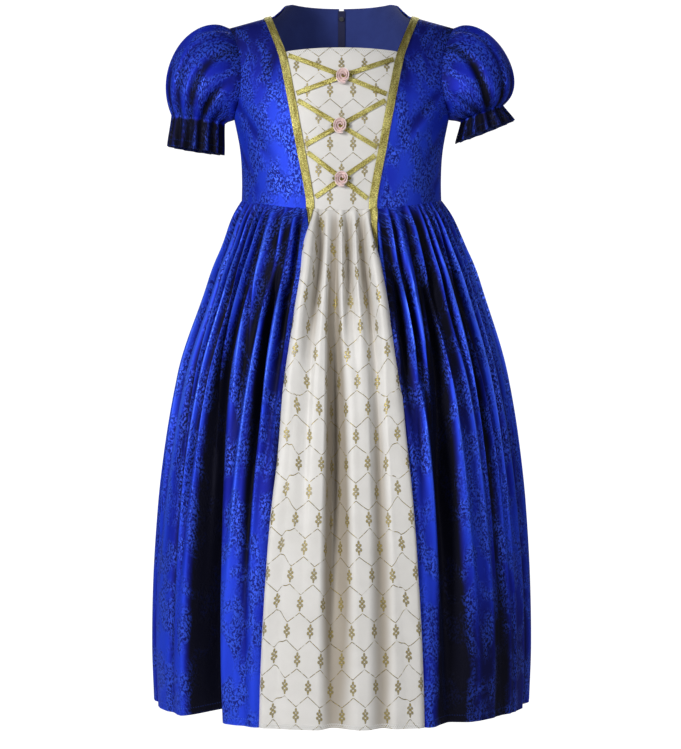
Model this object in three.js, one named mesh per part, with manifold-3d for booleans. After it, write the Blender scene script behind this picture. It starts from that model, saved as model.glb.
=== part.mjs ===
// A princess costume dress for a child of five or six: velvet bodice with a laced satin front,
// puff sleeves and a long gathered skirt. Millimetres, +Z up, the front faces -Y and +X is the
// wearer's left. The origin is midway between the two shoulder neck points, at their height.
import * as THREE from 'three';
import { mergeVertices } from 'three/addons/utils/BufferGeometryUtils.js';
import Module from 'manifold-3d';

// Cloth, ribbon and the gaps between pieces.
const VELVET = 1.5;
const SATIN = 1.2;
const RIBBON = 0.8;
const SEAM_GAP = 0.3;
const LYING_GAP = 0.5;

// The body that the bodice is cut for, from the shoulder line down to the waist.
const BODICE_SHAPE = [
  { height: 60, halfWidth: 134, front: 58, back: 82 },
  { height: 0, halfWidth: 134, front: 64, back: 84 },
  { height: -42, halfWidth: 134, front: 72, back: 84 },
  { height: -70, halfWidth: 133, front: 78, back: 84 },
  { height: -100, halfWidth: 129, front: 82, back: 84 },
  { height: -118, halfWidth: 125, front: 84, back: 84 },
  { height: -155, halfWidth: 118, front: 86, back: 82 },
  { height: -190, halfWidth: 116, front: 90, back: 79 },
  { height: -230, halfWidth: 117, front: 93, back: 78 },
];
const BODY_SQUARENESS = 2.6;
const BODY_FLATNESS = 2.2;
const SHOULDER_ROUNDING = 150;
const NECK_POINT_X = 82;
const SHOULDER_POINT_X = 86;
const SHOULDER_SLOPE = 12 / 44;
const NAPE_RISE = 62;
const NAPE_POWER = 1.5;

// Neck edge, armhole and waist seam.
const STOMACHER_TOP = -42;
const STOMACHER_CORNER = -45;
const FLUSH_REACH = 9;
const NAPE_HEIGHT = 18.6;
const NAPE_FLAT_HALF = 56;
const NAPE_FALL_POWER = 1.5;
const NECK_CORNER_INSET = 0.7;
const NECK_SHARE = 0.6;
const ARMHOLE = { x: 127.5, tipX: 2.5, hollow: 12, height: -65, halfHeight: 53 };
const WAIST = -214;
const WAIST_DIP = 13;
const ARMHOLE_SHARE = 0.5;
const ROWS_TOWARDS_SHOULDER = 1.4;
const BODICE_GRIDS = {
  sideFront: { columns: 6, rows: 11 },
  stomacher: { columns: 8, rows: 9 },
  back: { columns: 10, rows: 11 },
  trim: { columns: 2, rows: 18 },
};

// The centre line of the ribbon down the princess seam.
const RIBBON_WIDTH = 9.4;
const PRINCESS_LINE = [
  { height: 2, x: 86.6 },
  { height: 0, x: 86 },
  { height: -25, x: 75.8 },
  { height: -50, x: 66.7 },
  { height: -96, x: 57.3 },
  { height: -153, x: 46.8 },
  { height: -212, x: 35.9 },
  { height: -230, x: 35 },
];

// Lacing: heights where each crossed pair meets the ribbons down the seams.
const LACE_WIDTH = 5.7;
const LACES = [
  { pair: 'upper', highRight: -50.6, highLeft: -55, lowRight: -94.9, lowLeft: -95.7 },
  { pair: 'middle', highRight: -103, highLeft: -103, lowRight: -153.1, lowLeft: -155.8 },
  { pair: 'lower', highRight: -161.9, highLeft: -165.3, lowRight: -212.2, lowLeft: -213.9 },
];
const LACE_RISE = 1.4;
const LACE_RISE_REACH = 11;
const LACE_RISE_SPREAD = 1.6;
const LACE_TUCK = 1.7;
const LACE_ROWS = 14;
const ROSE_PROFILE = [
  { radius: 0, height: 0 },
  { radius: 3, height: 0 },
  { radius: 3, height: 1.2 },
  { radius: 6.6, height: 1.2 },
  { radius: 7.6, height: 2.2 },
  { radius: 7, height: 3.6 },
  { radius: 5.4, height: 3.2 },
  { radius: 5, height: 4.6 },
  { radius: 3.4, height: 4.2 },
  { radius: 3, height: 5.5 },
  { radius: 1.4, height: 5.1 },
  { radius: 0, height: 5.5 },
];
const ROSE_SIDES = 12;
const LEAF_START = 3;
const LEAF_CURVE_PARTS = 4;
const LEAF_LENGTH = 8;
const LEAF_WIDTH = 4.6;

// Skirt: outline by the drop below the waist seam, seam angles, gathers and folds.
const SKIRT_LENGTH = 582;
const SKIRT_SHAPE = [
  { drop: 0, halfWidth: 117, front: 92.5, back: 78.5 },
  { drop: 31, halfWidth: 134, front: 106, back: 97 },
  { drop: 74, halfWidth: 154, front: 121, back: 116 },
  { drop: 116, halfWidth: 167, front: 134, back: 131 },
  { drop: 186, halfWidth: 185, front: 152, back: 151 },
  { drop: 246, halfWidth: 198, front: 165, back: 164 },
  { drop: 306, halfWidth: 208, front: 175, back: 175 },
  { drop: 356, halfWidth: 214, front: 182, back: 182 },
  { drop: 436, halfWidth: 220, front: 189, back: 189 },
  { drop: 516, halfWidth: 222, front: 192, back: 192 },
  { drop: SKIRT_LENGTH, halfWidth: 220, front: 193, back: 193 },
];
const SKIRT_ROUNDS_OUT_BY = 200;
const SKIRT_ROWS = [0, 16, 55, 125, 215, 330, 450, SKIRT_LENGTH];
const SKIRT_SEAM = [
  { drop: 0, angle: 17.7 },
  { drop: 65, angle: 16 },
  { drop: 131, angle: 17.9 },
  { drop: 245, angle: 19.8 },
  { drop: 370, angle: 21.2 },
  { drop: 437, angle: 22.3 },
  { drop: SKIRT_LENGTH, angle: 24.8 },
];
const SIDE_SEAM_ANGLE = 90;
const BACK_SEAM_ANGLE = 180;
const GATHERS = { frontCentre: 5, front: 12, back: 15 };
const GATHER_HEIGHT = [
  { drop: 0, height: 0.7 },
  { drop: 16, height: 2.4 },
  { drop: 55, height: 3.2 },
  { drop: 125, height: 2.8 },
  { drop: 215, height: 2 },
  { drop: 330, height: 0.8 },
  { drop: 450, height: 0 },
  { drop: SKIRT_LENGTH, height: 0 },
];
const COLUMNS_A_GATHER = 3;
const GATHERS_UNEVEN = [{ share: 0.3, waves: 13, starts: 0 }, { share: 0.2, waves: 29, starts: 1 }];

// Folds are troughs pressed into the skirt. Angles are degrees from the centre front, to the
// wearer's left; right and left are the widths of a trough's two sides at the hem.
const FOLDS = [
  { angle: -61, right: 5, left: 4, depth: 7, begins: 120, deepest: 300, atHem: 0.5, hemLift: 0 },
  { angle: -45.5, right: 10.5, left: 10, depth: 46, begins: 90, deepest: 480, atHem: 1, hemLift: 7 },
  { angle: -29.6, right: 3, left: 3, depth: 13, begins: 60, deepest: 260, atHem: 0.1, hemLift: 0 },
  { angle: -17.3, hemAngle: -24.4, right: 4, left: 3.5, depth: 13, begins: 10, deepest: 300,
    atHem: 0.5, hemLift: 0 },
  { angle: -2.5, right: 4.5, left: 8, depth: 17, begins: 40, deepest: 330, atHem: 0.35, hemLift: 2 },
  { angle: 12, right: 5, left: 4, depth: 8, begins: 60, deepest: 300, atHem: 0.7, hemLift: 1 },
  { angle: 17.3, hemAngle: 24.4, right: 3.5, left: 4, depth: 12, begins: 10, deepest: 260,
    atHem: 0.5, hemLift: 0 },
  { angle: 34, right: 7, left: 8, depth: 27, begins: 110, deepest: 330, atHem: 0.35, hemLift: 1 },
  { angle: 55, right: 6, left: 6, depth: 8, begins: 90, deepest: 240, atHem: 0.4, hemLift: 0 },
  { angle: 76, right: 6, left: 6, depth: 8, begins: 150, deepest: 400, atHem: 0.9, hemLift: 0 },
  { angle: 106, right: 9, left: 8, depth: 24, begins: 100, deepest: 420, atHem: 1, hemLift: 2 },
  { angle: 129, right: 7, left: 9, depth: 32, begins: 80, deepest: 470, atHem: 1, hemLift: 4 },
  { angle: 152, right: 8, left: 7, depth: 20, begins: 110, deepest: 360, atHem: 0.8, hemLift: 1 },
  { angle: 173, right: 8, left: 6, depth: 28, begins: 70, deepest: 440, atHem: 1, hemLift: 3 },
  { angle: -80, right: 6, left: 6, depth: 9, begins: 150, deepest: 420, atHem: 0.9, hemLift: 0 },
  { angle: -104, right: 8, left: 9, depth: 30, begins: 90, deepest: 450, atHem: 1, hemLift: 3 },
  { angle: -126, right: 8, left: 7, depth: 19, begins: 120, deepest: 380, atHem: 0.8, hemLift: 1 },
  { angle: -146, right: 7, left: 9, depth: 34, begins: 80, deepest: 470, atHem: 1, hemLift: 4 },
  { angle: -166, right: 6, left: 7, depth: 16, begins: 110, deepest: 350, atHem: 0.7, hemLift: 1 },
];
const FOLD_NARROW_AT_WAIST = 0.55;

// Sleeves, each in the plane of its cuff. Right is flatter and hangs; left is turned outwards.
const SLEEVES = [
  {
    side: 1, name: 'sleeve_left',
    cuff: { x: 163.5, height: -111, outX: 23.5, outHeight: 9, halfDepth: 33 },
    crown: { rise: 8, swell: 45 },
    frill: { x: 3.7, height: -21, halfWidth: 34.5, halfDepth: 36 },
  },
  {
    side: -1, name: 'sleeve_right',
    cuff: { x: 167, height: -118, outX: 30, outHeight: 4.5, halfDepth: 31 },
    crown: { rise: 53, swell: 33 },
    frill: { x: 2.8, height: -36, halfWidth: 31, halfDepth: 33 },
  },
];
const SLEEVE_COLUMNS = 56;
const CUFF_GATHERS = 14;
const PUFF_ROWS = [0, 0.06, 0.2, 0.4, 0.6, 0.78, 0.92, 1];
const FRILL_ROWS = [0.5, 1];
const CUFF_GATHER_HEIGHT = 1.6;
const HEAD_GATHER_HEIGHT = 1.3;
const FRILL_WAVE = 3.4;
const CUFF_PULL_FROM = 0.45;
const HEAD_PULL = { grownBy: 0.1, goneBy: 0.5, goesOver: 0.4, underArm: 0.1, grownTo: 0.5 };
const PUFF_FROM_HEAD = { lift: 2, swell: 20, out: 3, outSwell: 42 };
const PUFF_FROM_CUFF = { lift: 2, out: 1 };
const SLEEVE_STEP_DOWN = 0.02;
const HEAD_INSIDE = 1.1;
const HEAD_OUT = 1;

// Zip, from the back neck to just above the waist seam.
const ZIP_OPENING_HALF = 2.6;
const ZIP_TOP = 17;
const ZIP_BOTTOM = -208;
const TAPE_HALF_WIDTH = 4.2;
const TAPE = 0.8;
const CHAIN_HALF_WIDTH = 1.4;
const CHAIN = 1.1;
const ZIP_ROWS = 18;
const SLIDER_AT = 6;
const CHAIN_END_GAP = 1;
const SLOT_DEPTH = 6;
const RING_SIDES = 16;
const JOINED_BY = 0.1;
const SLIDER = { halfWidth: 3.2, halfLength: 4.6, plate: 1, neckHalfWidth: 0.9, neckLow: 1.2, neckHigh: 3.8 };
const SLIDER_RING_RADIUS = 2.7;
const BRIDGE = { halfWidth: 0.9, halfLength: 3.3, height: 3.4, bar: 0.9 };
const PULL = {
  bar: 0.65, eyeHalfWidth: 2.4, eyeLength: 5.6, eyeEnd: 0.6, taper: 2, length: 23, halfWidth: 3.1,
  thickness: 1.2,
};
const PULL_LEAN = 0.05;
const PULL_CURVE_PARTS = 6;

const DEGREE = Math.PI / 180;
const WELD = 1e-4;
const TURN_NUDGE = 1e-6;
const STEP = { angle: 0.4 * DEGREE, height: 0.8 };
const SKIRT_STEP = { angle: 1.6 * DEGREE, height: 3 };

const materials = {
  velvet: () => new THREE.MeshStandardMaterial({ color: 0x1226b8, roughness: 0.75, metalness: 0 }),
  satin: () => new THREE.MeshStandardMaterial({ color: 0xe3dfd6, roughness: 0.45, metalness: 0 }),
  gold: () => new THREE.MeshStandardMaterial({ color: 0xb59a3c, roughness: 0.35, metalness: 0.6 }),
  rose: () => new THREE.MeshStandardMaterial({ color: 0xebc8c8, roughness: 0.5, metalness: 0 }),
  leaf: () => new THREE.MeshStandardMaterial({ color: 0x8b8a3a, roughness: 0.5, metalness: 0 }),
  tape: () => new THREE.MeshStandardMaterial({ color: 0x12163a, roughness: 0.8, metalness: 0 }),
  coil: () => new THREE.MeshStandardMaterial({ color: 0x161b44, roughness: 0.5, metalness: 0 }),
  metal: () => new THREE.MeshStandardMaterial({ color: 0x9ea3aa, roughness: 0.3, metalness: 0.9 }),
};

const mix = (a, b, share) => a + (b - a) * share;
const clamp = (value, low, high) => Math.min(Math.max(value, low), high);
const ease = (share) => {
  const held = clamp(share, 0, 1);
  return held * held * (3 - 2 * held);
};

// A smooth curve through one column of a table, against another column.
function read(rows, input, output, at) {
  const last = rows.length - 1;
  const falls = rows[0][input] > rows[last][input];
  const next = rows.findIndex((row) => (falls ? row[input] <= at : row[input] >= at));
  if (next === 0) return rows[0][output];
  if (next < 0) return rows[last][output];
  const slopeAt = (index) => {
    const before = rows[Math.max(index - 1, 0)];
    const after = rows[Math.min(index + 1, last)];
    return (after[output] - before[output]) / (after[input] - before[input]);
  };
  const [from, to] = [rows[next - 1], rows[next]];
  const span = to[input] - from[input];
  const t = (at - from[input]) / span;
  const [t2, t3] = [t * t, t * t * t];
  return from[output] * (2 * t3 - 3 * t2 + 1) + to[output] * (3 * t2 - 2 * t3)
    + span * (slopeAt(next - 1) * (t3 - 2 * t2 + t) + slopeAt(next) * (t3 - t2));
}

// The height of the shoulder line above a distance from the centre. Inside the neck points it
// rises to the nape, so that the back and front there curve up towards the neck.
function shoulderLine(x) {
  const slope = -(x - SHOULDER_POINT_X) * SHOULDER_SLOPE;
  if (x >= NECK_POINT_X) return slope;
  const atNeck = (SHOULDER_POINT_X - NECK_POINT_X) * SHOULDER_SLOPE;
  return atNeck + NAPE_RISE * (1 - (x / NECK_POINT_X) ** 2) ** NAPE_POWER;
}

// A round section's depth share at an angle from the centre front.
const roundness = (angle, squareness, flatness) =>
  Math.max(1 - Math.abs(Math.sin(angle)) ** squareness, 0) ** (1 / flatness);

// A point of the bodice. Past the shoulder line it continues on the other side of the body.
function bodicePoint(angle, height) {
  const x = read(BODICE_SHAPE, 'height', 'halfWidth', height) * Math.sin(angle);
  const below = shoulderLine(Math.abs(x)) - height;
  const overShoulder = below < 0;
  const isFront = (Math.cos(angle) >= 0) !== overShoulder;
  const z = overShoulder ? height + 2 * below : height;
  const depth = read(BODICE_SHAPE, 'height', isFront ? 'front' : 'back', z);
  const fullness = Math.sqrt(1 - (1 - Math.min(Math.abs(below) / SHOULDER_ROUNDING, 1)) ** 2);
  const y = depth * fullness * roundness(angle, BODY_SQUARENESS, BODY_FLATNESS);
  return new THREE.Vector3(x, isFront ? -y : y, z);
}

const waistHeight = (angle) => WAIST - WAIST_DIP * Math.max(Math.cos(angle), 0) ** 2;
const seamAngle = (drop) => read(SKIRT_SEAM, 'drop', 'angle', drop) * DEGREE;

// How many gathers lie between the last seam and an angle round the skirt.
function gatherCount(angle, drop) {
  const around = Math.abs(angle);
  const seam = seamAngle(drop);
  const side = SIDE_SEAM_ANGLE * DEGREE;
  if (around <= seam) return GATHERS.frontCentre * (angle + seam) / (2 * seam);
  if (around <= side) return GATHERS.front * (around - seam) / (side - seam);
  return GATHERS.back * (around - side) / (BACK_SEAM_ANGLE * DEGREE - side);
}

// The folds' depth and the hem's lift at a place on the skirt.
function foldsAt(angle, drop) {
  const found = { depth: 0, lift: 0 };
  for (const fold of FOLDS) {
    const middle = mix(fold.angle, fold.hemAngle ?? fold.angle, drop / SKIRT_LENGTH);
    let away = angle / DEGREE - middle;
    away -= 360 * Math.round(away / 360);
    const narrow = mix(FOLD_NARROW_AT_WAIST, 1, drop / SKIRT_LENGTH);
    const reach = (away < 0 ? fold.right : fold.left) * narrow;
    if (Math.abs(away) < reach) {
      const trough = (1 + Math.cos(Math.PI * away / reach)) / 2;
      const grown = ease((drop - fold.begins) / (fold.deepest - fold.begins));
      const past = clamp((drop - fold.deepest) / (SKIRT_LENGTH - fold.deepest), 0, 1);
      found.depth += fold.depth * trough * grown * mix(1, fold.atHem, past);
      found.lift += fold.hemLift * trough * (drop / SKIRT_LENGTH) ** 2;
    }
  }
  return found;
}

// A point of the skirt, at an angle from the centre front and a drop below the waist seam.
function skirtPoint(angle, drop) {
  const isFront = Math.cos(angle) >= 0;
  const halfWidth = read(SKIRT_SHAPE, 'drop', 'halfWidth', drop);
  const depth = read(SKIRT_SHAPE, 'drop', isFront ? 'front' : 'back', drop);
  const rounding = ease(drop / SKIRT_ROUNDS_OUT_BY);
  const squareness = mix(BODY_SQUARENESS, 2, rounding);
  const flatness = mix(BODY_FLATNESS, 2, rounding);
  const y = depth * roundness(angle, squareness, flatness);
  const place = new THREE.Vector2(halfWidth * Math.sin(angle), isFront ? -y : y);
  const out = new THREE.Vector2(place.x / halfWidth ** 2, place.y / depth ** 2).normalize();
  const gathers = read(GATHER_HEIGHT, 'drop', 'height', drop);
  const uneven = GATHERS_UNEVEN.reduce(
    (sum, { share, waves, starts }) => sum + share * Math.sin(angle * waves + starts), 1,
  );
  const wave = -Math.cos(2 * Math.PI * gatherCount(angle, drop)) * gathers * uneven;
  const fold = foldsAt(angle, drop);
  place.addScaledVector(out, wave - fold.depth);
  const seam = waistHeight(angle);
  const height = mix(seam, WAIST - SKIRT_LENGTH, drop / SKIRT_LENGTH) + fold.lift;
  return new THREE.Vector3(place.x, place.y, height);
}

// The outward normal of a surface of two parameters; second runs up where secondRises is 1.
function normalOf(surface, first, second, steps, secondRises) {
  const along = surface(first + steps.angle, second).sub(surface(first - steps.angle, second));
  const up = surface(first, second + steps.height).sub(surface(first, second - steps.height));
  return along.cross(up).multiplyScalar(secondRises).normalize();
}

// A closed body between two grids of points, as quads on both faces and round the edges.
function bodyBetween(outer, inner, isRing) {
  const rowCount = outer.length;
  const columnCount = outer[0].length;
  const positions = [...outer.flat(), ...inner.flat()].flatMap((point) => point.toArray());
  const at = (row, column, face) => (face * rowCount + row) * columnCount + (column % columnCount);
  const index = [];
  const quad = (a, b, c, d) => index.push(a, b, c, a, c, d);
  const lastRow = rowCount - 1;
  const lastColumn = isRing ? columnCount : columnCount - 1;
  for (let column = 0; column < lastColumn; column += 1) {
    const next = column + 1;
    for (let row = 0; row < lastRow; row += 1) {
      quad(at(row, column, 0), at(row, next, 0), at(row + 1, next, 0), at(row + 1, column, 0));
      quad(at(row, column, 1), at(row + 1, column, 1), at(row + 1, next, 1), at(row, next, 1));
    }
    quad(at(0, next, 0), at(0, column, 0), at(0, column, 1), at(0, next, 1));
    quad(at(lastRow, column, 0), at(lastRow, next, 0), at(lastRow, next, 1), at(lastRow, column, 1));
  }
  for (let row = 0; row < lastRow && !isRing; row += 1) {
    quad(at(row, 0, 0), at(row + 1, 0, 0), at(row + 1, 0, 1), at(row, 0, 1));
    quad(
      at(row + 1, lastColumn, 0), at(row, lastColumn, 0), at(row, lastColumn, 1), at(row + 1, lastColumn, 1),
    );
  }
  const geometry = new THREE.BufferGeometry();
  geometry.setAttribute('position', new THREE.Float32BufferAttribute(positions, 3));
  geometry.setIndex(index);
  return facingOut(geometry);
}

// Turns a closed geometry's faces round where they point inwards.
function facingOut(geometry) {
  const corners = geometry.getAttribute('position');
  const index = [...geometry.getIndex().array];
  const corner = (place) => new THREE.Vector3().fromBufferAttribute(corners, index[place]);
  let volume = 0;
  for (let place = 0; place < index.length; place += 3) {
    volume += corner(place).dot(corner(place + 1).cross(corner(place + 2)));
  }
  if (volume < 0) {
    for (let place = 0; place < index.length; place += 3) {
      [index[place + 1], index[place + 2]] = [index[place + 2], index[place + 1]];
    }
    geometry.setIndex(index);
  }
  geometry.computeVertexNormals();
  return geometry;
}

// Draws an open grid's edges in by half the gap of a seam.
function drawnIn(grid) {
  const lastRow = grid.length - 1;
  const lastColumn = grid[0].length - 1;
  const draw = (edge, inside) =>
    edge.clone().addScaledVector(inside.clone().sub(edge).normalize(), SEAM_GAP / 2);
  const narrowed = grid.map((row) => row.map((point, column) => {
    if (column === 0) return draw(point, row[1]);
    if (column === lastColumn) return draw(point, row[lastColumn - 1]);
    return point;
  }));
  return narrowed.map((row, index) => row.map((point, column) => {
    if (index === 0) return draw(point, narrowed[1][column]);
    if (index === lastRow) return draw(point, narrowed[lastRow - 1][column]);
    return point;
  }));
}

// A wall of cloth whose outer face lies at a lift above the grid's points.
function clothBody(grid, normals, lift, thickness, isRing, keepTo = (point) => point) {
  const edge = isRing ? grid : drawnIn(grid);
  const move = (distance) => edge.map((row, index) => row.map((point, column) =>
    keepTo(point.clone().addScaledVector(normals[index][column], distance))));
  return bodyBetween(move(lift), move(lift - thickness), isRing);
}

// Keeps a piece to its own side of the shoulder and side seams, which lie in the plane Y = 0.
const keepToFront = (point) => point.setY(Math.min(point.y, -SEAM_GAP / 2));
const keepToBack = (point) => point.setY(Math.max(point.y, SEAM_GAP / 2));

const mirrored = (grid, side) =>
  grid.map((row) => row.map((point) => new THREE.Vector3(point.x * side, point.y, point.z)));

const dress = new THREE.Group();
function addPiece(name, geometry, material, parent = dress) {
  const piece = new THREE.Mesh(geometry, material);
  piece.name = name;
  parent.add(piece);
  return piece;
}

// A bodice piece: place gives the angle and height at shares across and down it.
function bodicePiece({ name, material, side, place, columns, rows, lift, thickness, levelAtWaist, keepTo }) {
  const grid = [];
  const normals = [];
  for (let row = 0; row <= rows; row += 1) {
    const spots = [];
    for (let column = 0; column <= columns; column += 1) spots.push(place(column / columns, row / rows));
    grid.push(spots.map(([angle, height]) => bodicePoint(angle, height)));
    normals.push(spots.map(([angle, height]) => {
      const normal = normalOf(bodicePoint, angle, height, STEP, 1);
      return levelAtWaist && row === rows ? normal.setZ(0).normalize() : normal;
    }));
  }
  const geometry = clothBody(
    mirrored(grid, side), mirrored(normals, side), lift, thickness, false, keepTo,
  );
  return addPiece(name, geometry, material);
}

const bodiceHalfWidth = (height) => read(BODICE_SHAPE, 'height', 'halfWidth', height);
const angleAt = (x, height) => Math.asin(clamp(x / bodiceHalfWidth(height), -1, 1));
const princessX = (height) => read(PRINCESS_LINE, 'height', 'x', height);
// Above the stomacher the ribbon lies flush with the neck edge, so the cloth runs to its far side.
const frontEdgeX = (height) =>
  princessX(height) - RIBBON_WIDTH / 2 * ease((height - STOMACHER_CORNER + FLUSH_REACH) / FLUSH_REACH);

// The armhole seam from the shoulder, turn 0, to the underarm, turn pi.
function armholeSpot(turn) {
  const x = ARMHOLE.x + ARMHOLE.tipX * Math.cos(turn) - ARMHOLE.hollow * Math.sin(turn) ** 2;
  const height = ARMHOLE.height + ARMHOLE.halfHeight * Math.cos(turn);
  return [angleAt(x, height), height];
}

// Fills a four-sided patch from its edges, each a function of a share along it.
function patch({ top, bottom, inner, outer }) {
  return (across, down) => [0, 1].map((part) =>
    mix(top(across)[part], bottom(across)[part], down) + mix(inner(down)[part], outer(down)[part], across)
    - mix(mix(top(0)[part], top(1)[part], across), mix(bottom(0)[part], bottom(1)[part], across), down));
}

function sideEdge(down) {
  if (down <= ARMHOLE_SHARE) return armholeSpot(Math.PI * down / ARMHOLE_SHARE);
  const underarm = ARMHOLE.height - ARMHOLE.halfHeight;
  return [Math.PI / 2, mix(underarm, WAIST, (down - ARMHOLE_SHARE) / (1 - ARMHOLE_SHARE))];
}
const towardsShoulder = (down) => down ** ROWS_TOWARDS_SHOULDER;

// Velvet side fronts, from the princess seam to the side seam.
const frontWaistAngle = angleAt(princessX(WAIST - WAIST_DIP), WAIST - WAIST_DIP);
const sideFront = patch({
  top: (across) => {
    const x = mix(frontEdgeX(0), ARMHOLE.x + ARMHOLE.tipX, across);
    return [angleAt(x, shoulderLine(x)), shoulderLine(x)];
  },
  bottom: (across) => {
    const angle = mix(frontWaistAngle, Math.PI / 2, across);
    return [angle, waistHeight(angle)];
  },
  inner: (down) => {
    const height = mix(shoulderLine(frontEdgeX(0)), waistHeight(frontWaistAngle), down);
    return [angleAt(frontEdgeX(height), height), height];
  },
  outer: sideEdge,
});
for (const [side, word] of [[1, 'left'], [-1, 'right']]) {
  bodicePiece({
    name: `bodice_front_${word}`, material: materials.velvet(), side,
    place: (across, down) => sideFront(across, towardsShoulder(down)),
    ...BODICE_GRIDS.sideFront, lift: 0, thickness: VELVET, levelAtWaist: true, keepTo: keepToFront,
  });
}

// Satin stomacher between the princess seams.
bodicePiece({
  name: 'bodice_front_centre', material: materials.satin(), side: 1,
  place: (across, down) => {
    const share = 2 * across - 1;
    const top = mix(STOMACHER_TOP, STOMACHER_CORNER, share * share);
    const seamHeight = mix(STOMACHER_CORNER, waistHeight(frontWaistAngle), down);
    const angle = share * angleAt(frontEdgeX(seamHeight), seamHeight);
    return [angle, mix(top, waistHeight(angle), down)];
  },
  ...BODICE_GRIDS.stomacher, lift: 0, thickness: SATIN, levelAtWaist: true,
});

// Velvet backs, with the zip's opening between them.
const neckCorner = NECK_POINT_X - NECK_CORNER_INSET;
function backTop(across) {
  const atNeck = across < NECK_SHARE;
  const x = atNeck
    ? mix(ZIP_OPENING_HALF, neckCorner, across / NECK_SHARE)
    : mix(neckCorner, ARMHOLE.x + ARMHOLE.tipX, (across - NECK_SHARE) / (1 - NECK_SHARE));
  const pastFlat = clamp((x - NAPE_FLAT_HALF) / (neckCorner - NAPE_FLAT_HALF), 0, 1);
  const neckHeight = mix(NAPE_HEIGHT, shoulderLine(neckCorner), pastFlat ** NAPE_FALL_POWER);
  const height = atNeck ? neckHeight : shoulderLine(x);
  return [Math.PI - angleAt(x, height), height];
}
const back = patch({
  top: backTop,
  bottom: (across) => {
    const inner = Math.PI - angleAt(ZIP_OPENING_HALF, WAIST);
    return [mix(inner, Math.PI / 2, across), WAIST];
  },
  inner: (down) => {
    const height = mix(NAPE_HEIGHT, WAIST, down);
    return [Math.PI - angleAt(ZIP_OPENING_HALF, height), height];
  },
  outer: (down) => {
    const [angle, height] = sideEdge(down);
    return [Math.PI - angle, height];
  },
});
for (const [side, word] of [[1, 'left'], [-1, 'right']]) {
  bodicePiece({
    name: `bodice_back_${word}`, material: materials.velvet(), side,
    place: (across, down) => back(across, towardsShoulder(down)),
    ...BODICE_GRIDS.back, lift: 0, thickness: VELVET, levelAtWaist: true, keepTo: keepToBack,
  });
}

// Gold ribbon from each shoulder down the neck edge and the princess seam.
for (const [side, word] of [[1, 'left'], [-1, 'right']]) {
  bodicePiece({
    name: `bodice_trim_${word}`, material: materials.gold(), side,
    place: (across, down) => {
      const centre = mix(0, waistHeight(frontWaistAngle) + SEAM_GAP, down ** 2);
      const x = princessX(centre) + RIBBON_WIDTH * (across - 0.5);
      const height = Math.min(centre, shoulderLine(x) - SEAM_GAP);
      return [angleAt(x, height), height];
    },
    ...BODICE_GRIDS.trim, lift: LYING_GAP + RIBBON, thickness: RIBBON, levelAtWaist: false,
    keepTo: keepToFront,
  });
}

// Crossed lacing ribbons. The one that rises to the wearer's left goes over the other.
const LACE_END = RIBBON_WIDTH / 2 + SEAM_GAP + LACE_TUCK;
const crossings = {};
for (const lace of LACES) {
  const ends = [
    { way: 'rising', from: [-1, lace.lowRight], to: [1, lace.highLeft], rise: LACE_RISE },
    { way: 'falling', from: [-1, lace.highRight], to: [1, lace.lowLeft], rise: 0 },
  ].map((ribbon) => {
    const [start, end] = [ribbon.from, ribbon.to].map(([side, height]) =>
      new THREE.Vector2(side * (princessX(height) - LACE_END), height));
    return { ...ribbon, start, end, run: end.clone().sub(start) };
  });
  const [over, under] = ends;
  const apart = under.start.clone().sub(over.start);
  const share = apart.cross(under.run) / over.run.cross(under.run);
  const crossing = over.start.clone().addScaledVector(over.run, share);
  crossings[lace.pair] = crossing;
  for (const ribbon of ends) {
    const across = new THREE.Vector2(-ribbon.run.y, ribbon.run.x).normalize();
    const grid = [];
    const normals = [];
    for (let row = 0; row <= LACE_ROWS; row += 1) {
      const spots = [0.5, -0.5].map((half) => ribbon.start.clone()
        .addScaledVector(ribbon.run, row / LACE_ROWS).addScaledVector(across, half * LACE_WIDTH));
      const middle = spots[0].clone().add(spots[1]).multiplyScalar(0.5);
      const near = ease(LACE_RISE_SPREAD - middle.distanceTo(crossing) / LACE_RISE_REACH);
      normals.push(spots.map((spot) => normalOf(bodicePoint, angleAt(spot.x, spot.y), spot.y, STEP, 1)));
      grid.push(spots.map((spot, index) => bodicePoint(angleAt(spot.x, spot.y), spot.y)
        .addScaledVector(normals[row][index], ribbon.rise * near)));
    }
    const geometry = clothBody(grid, normals, LYING_GAP + RIBBON, RIBBON, false);
    addPiece(`lacing_${lace.pair}_${ribbon.way}`, geometry, materials.gold());
  }
}

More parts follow.
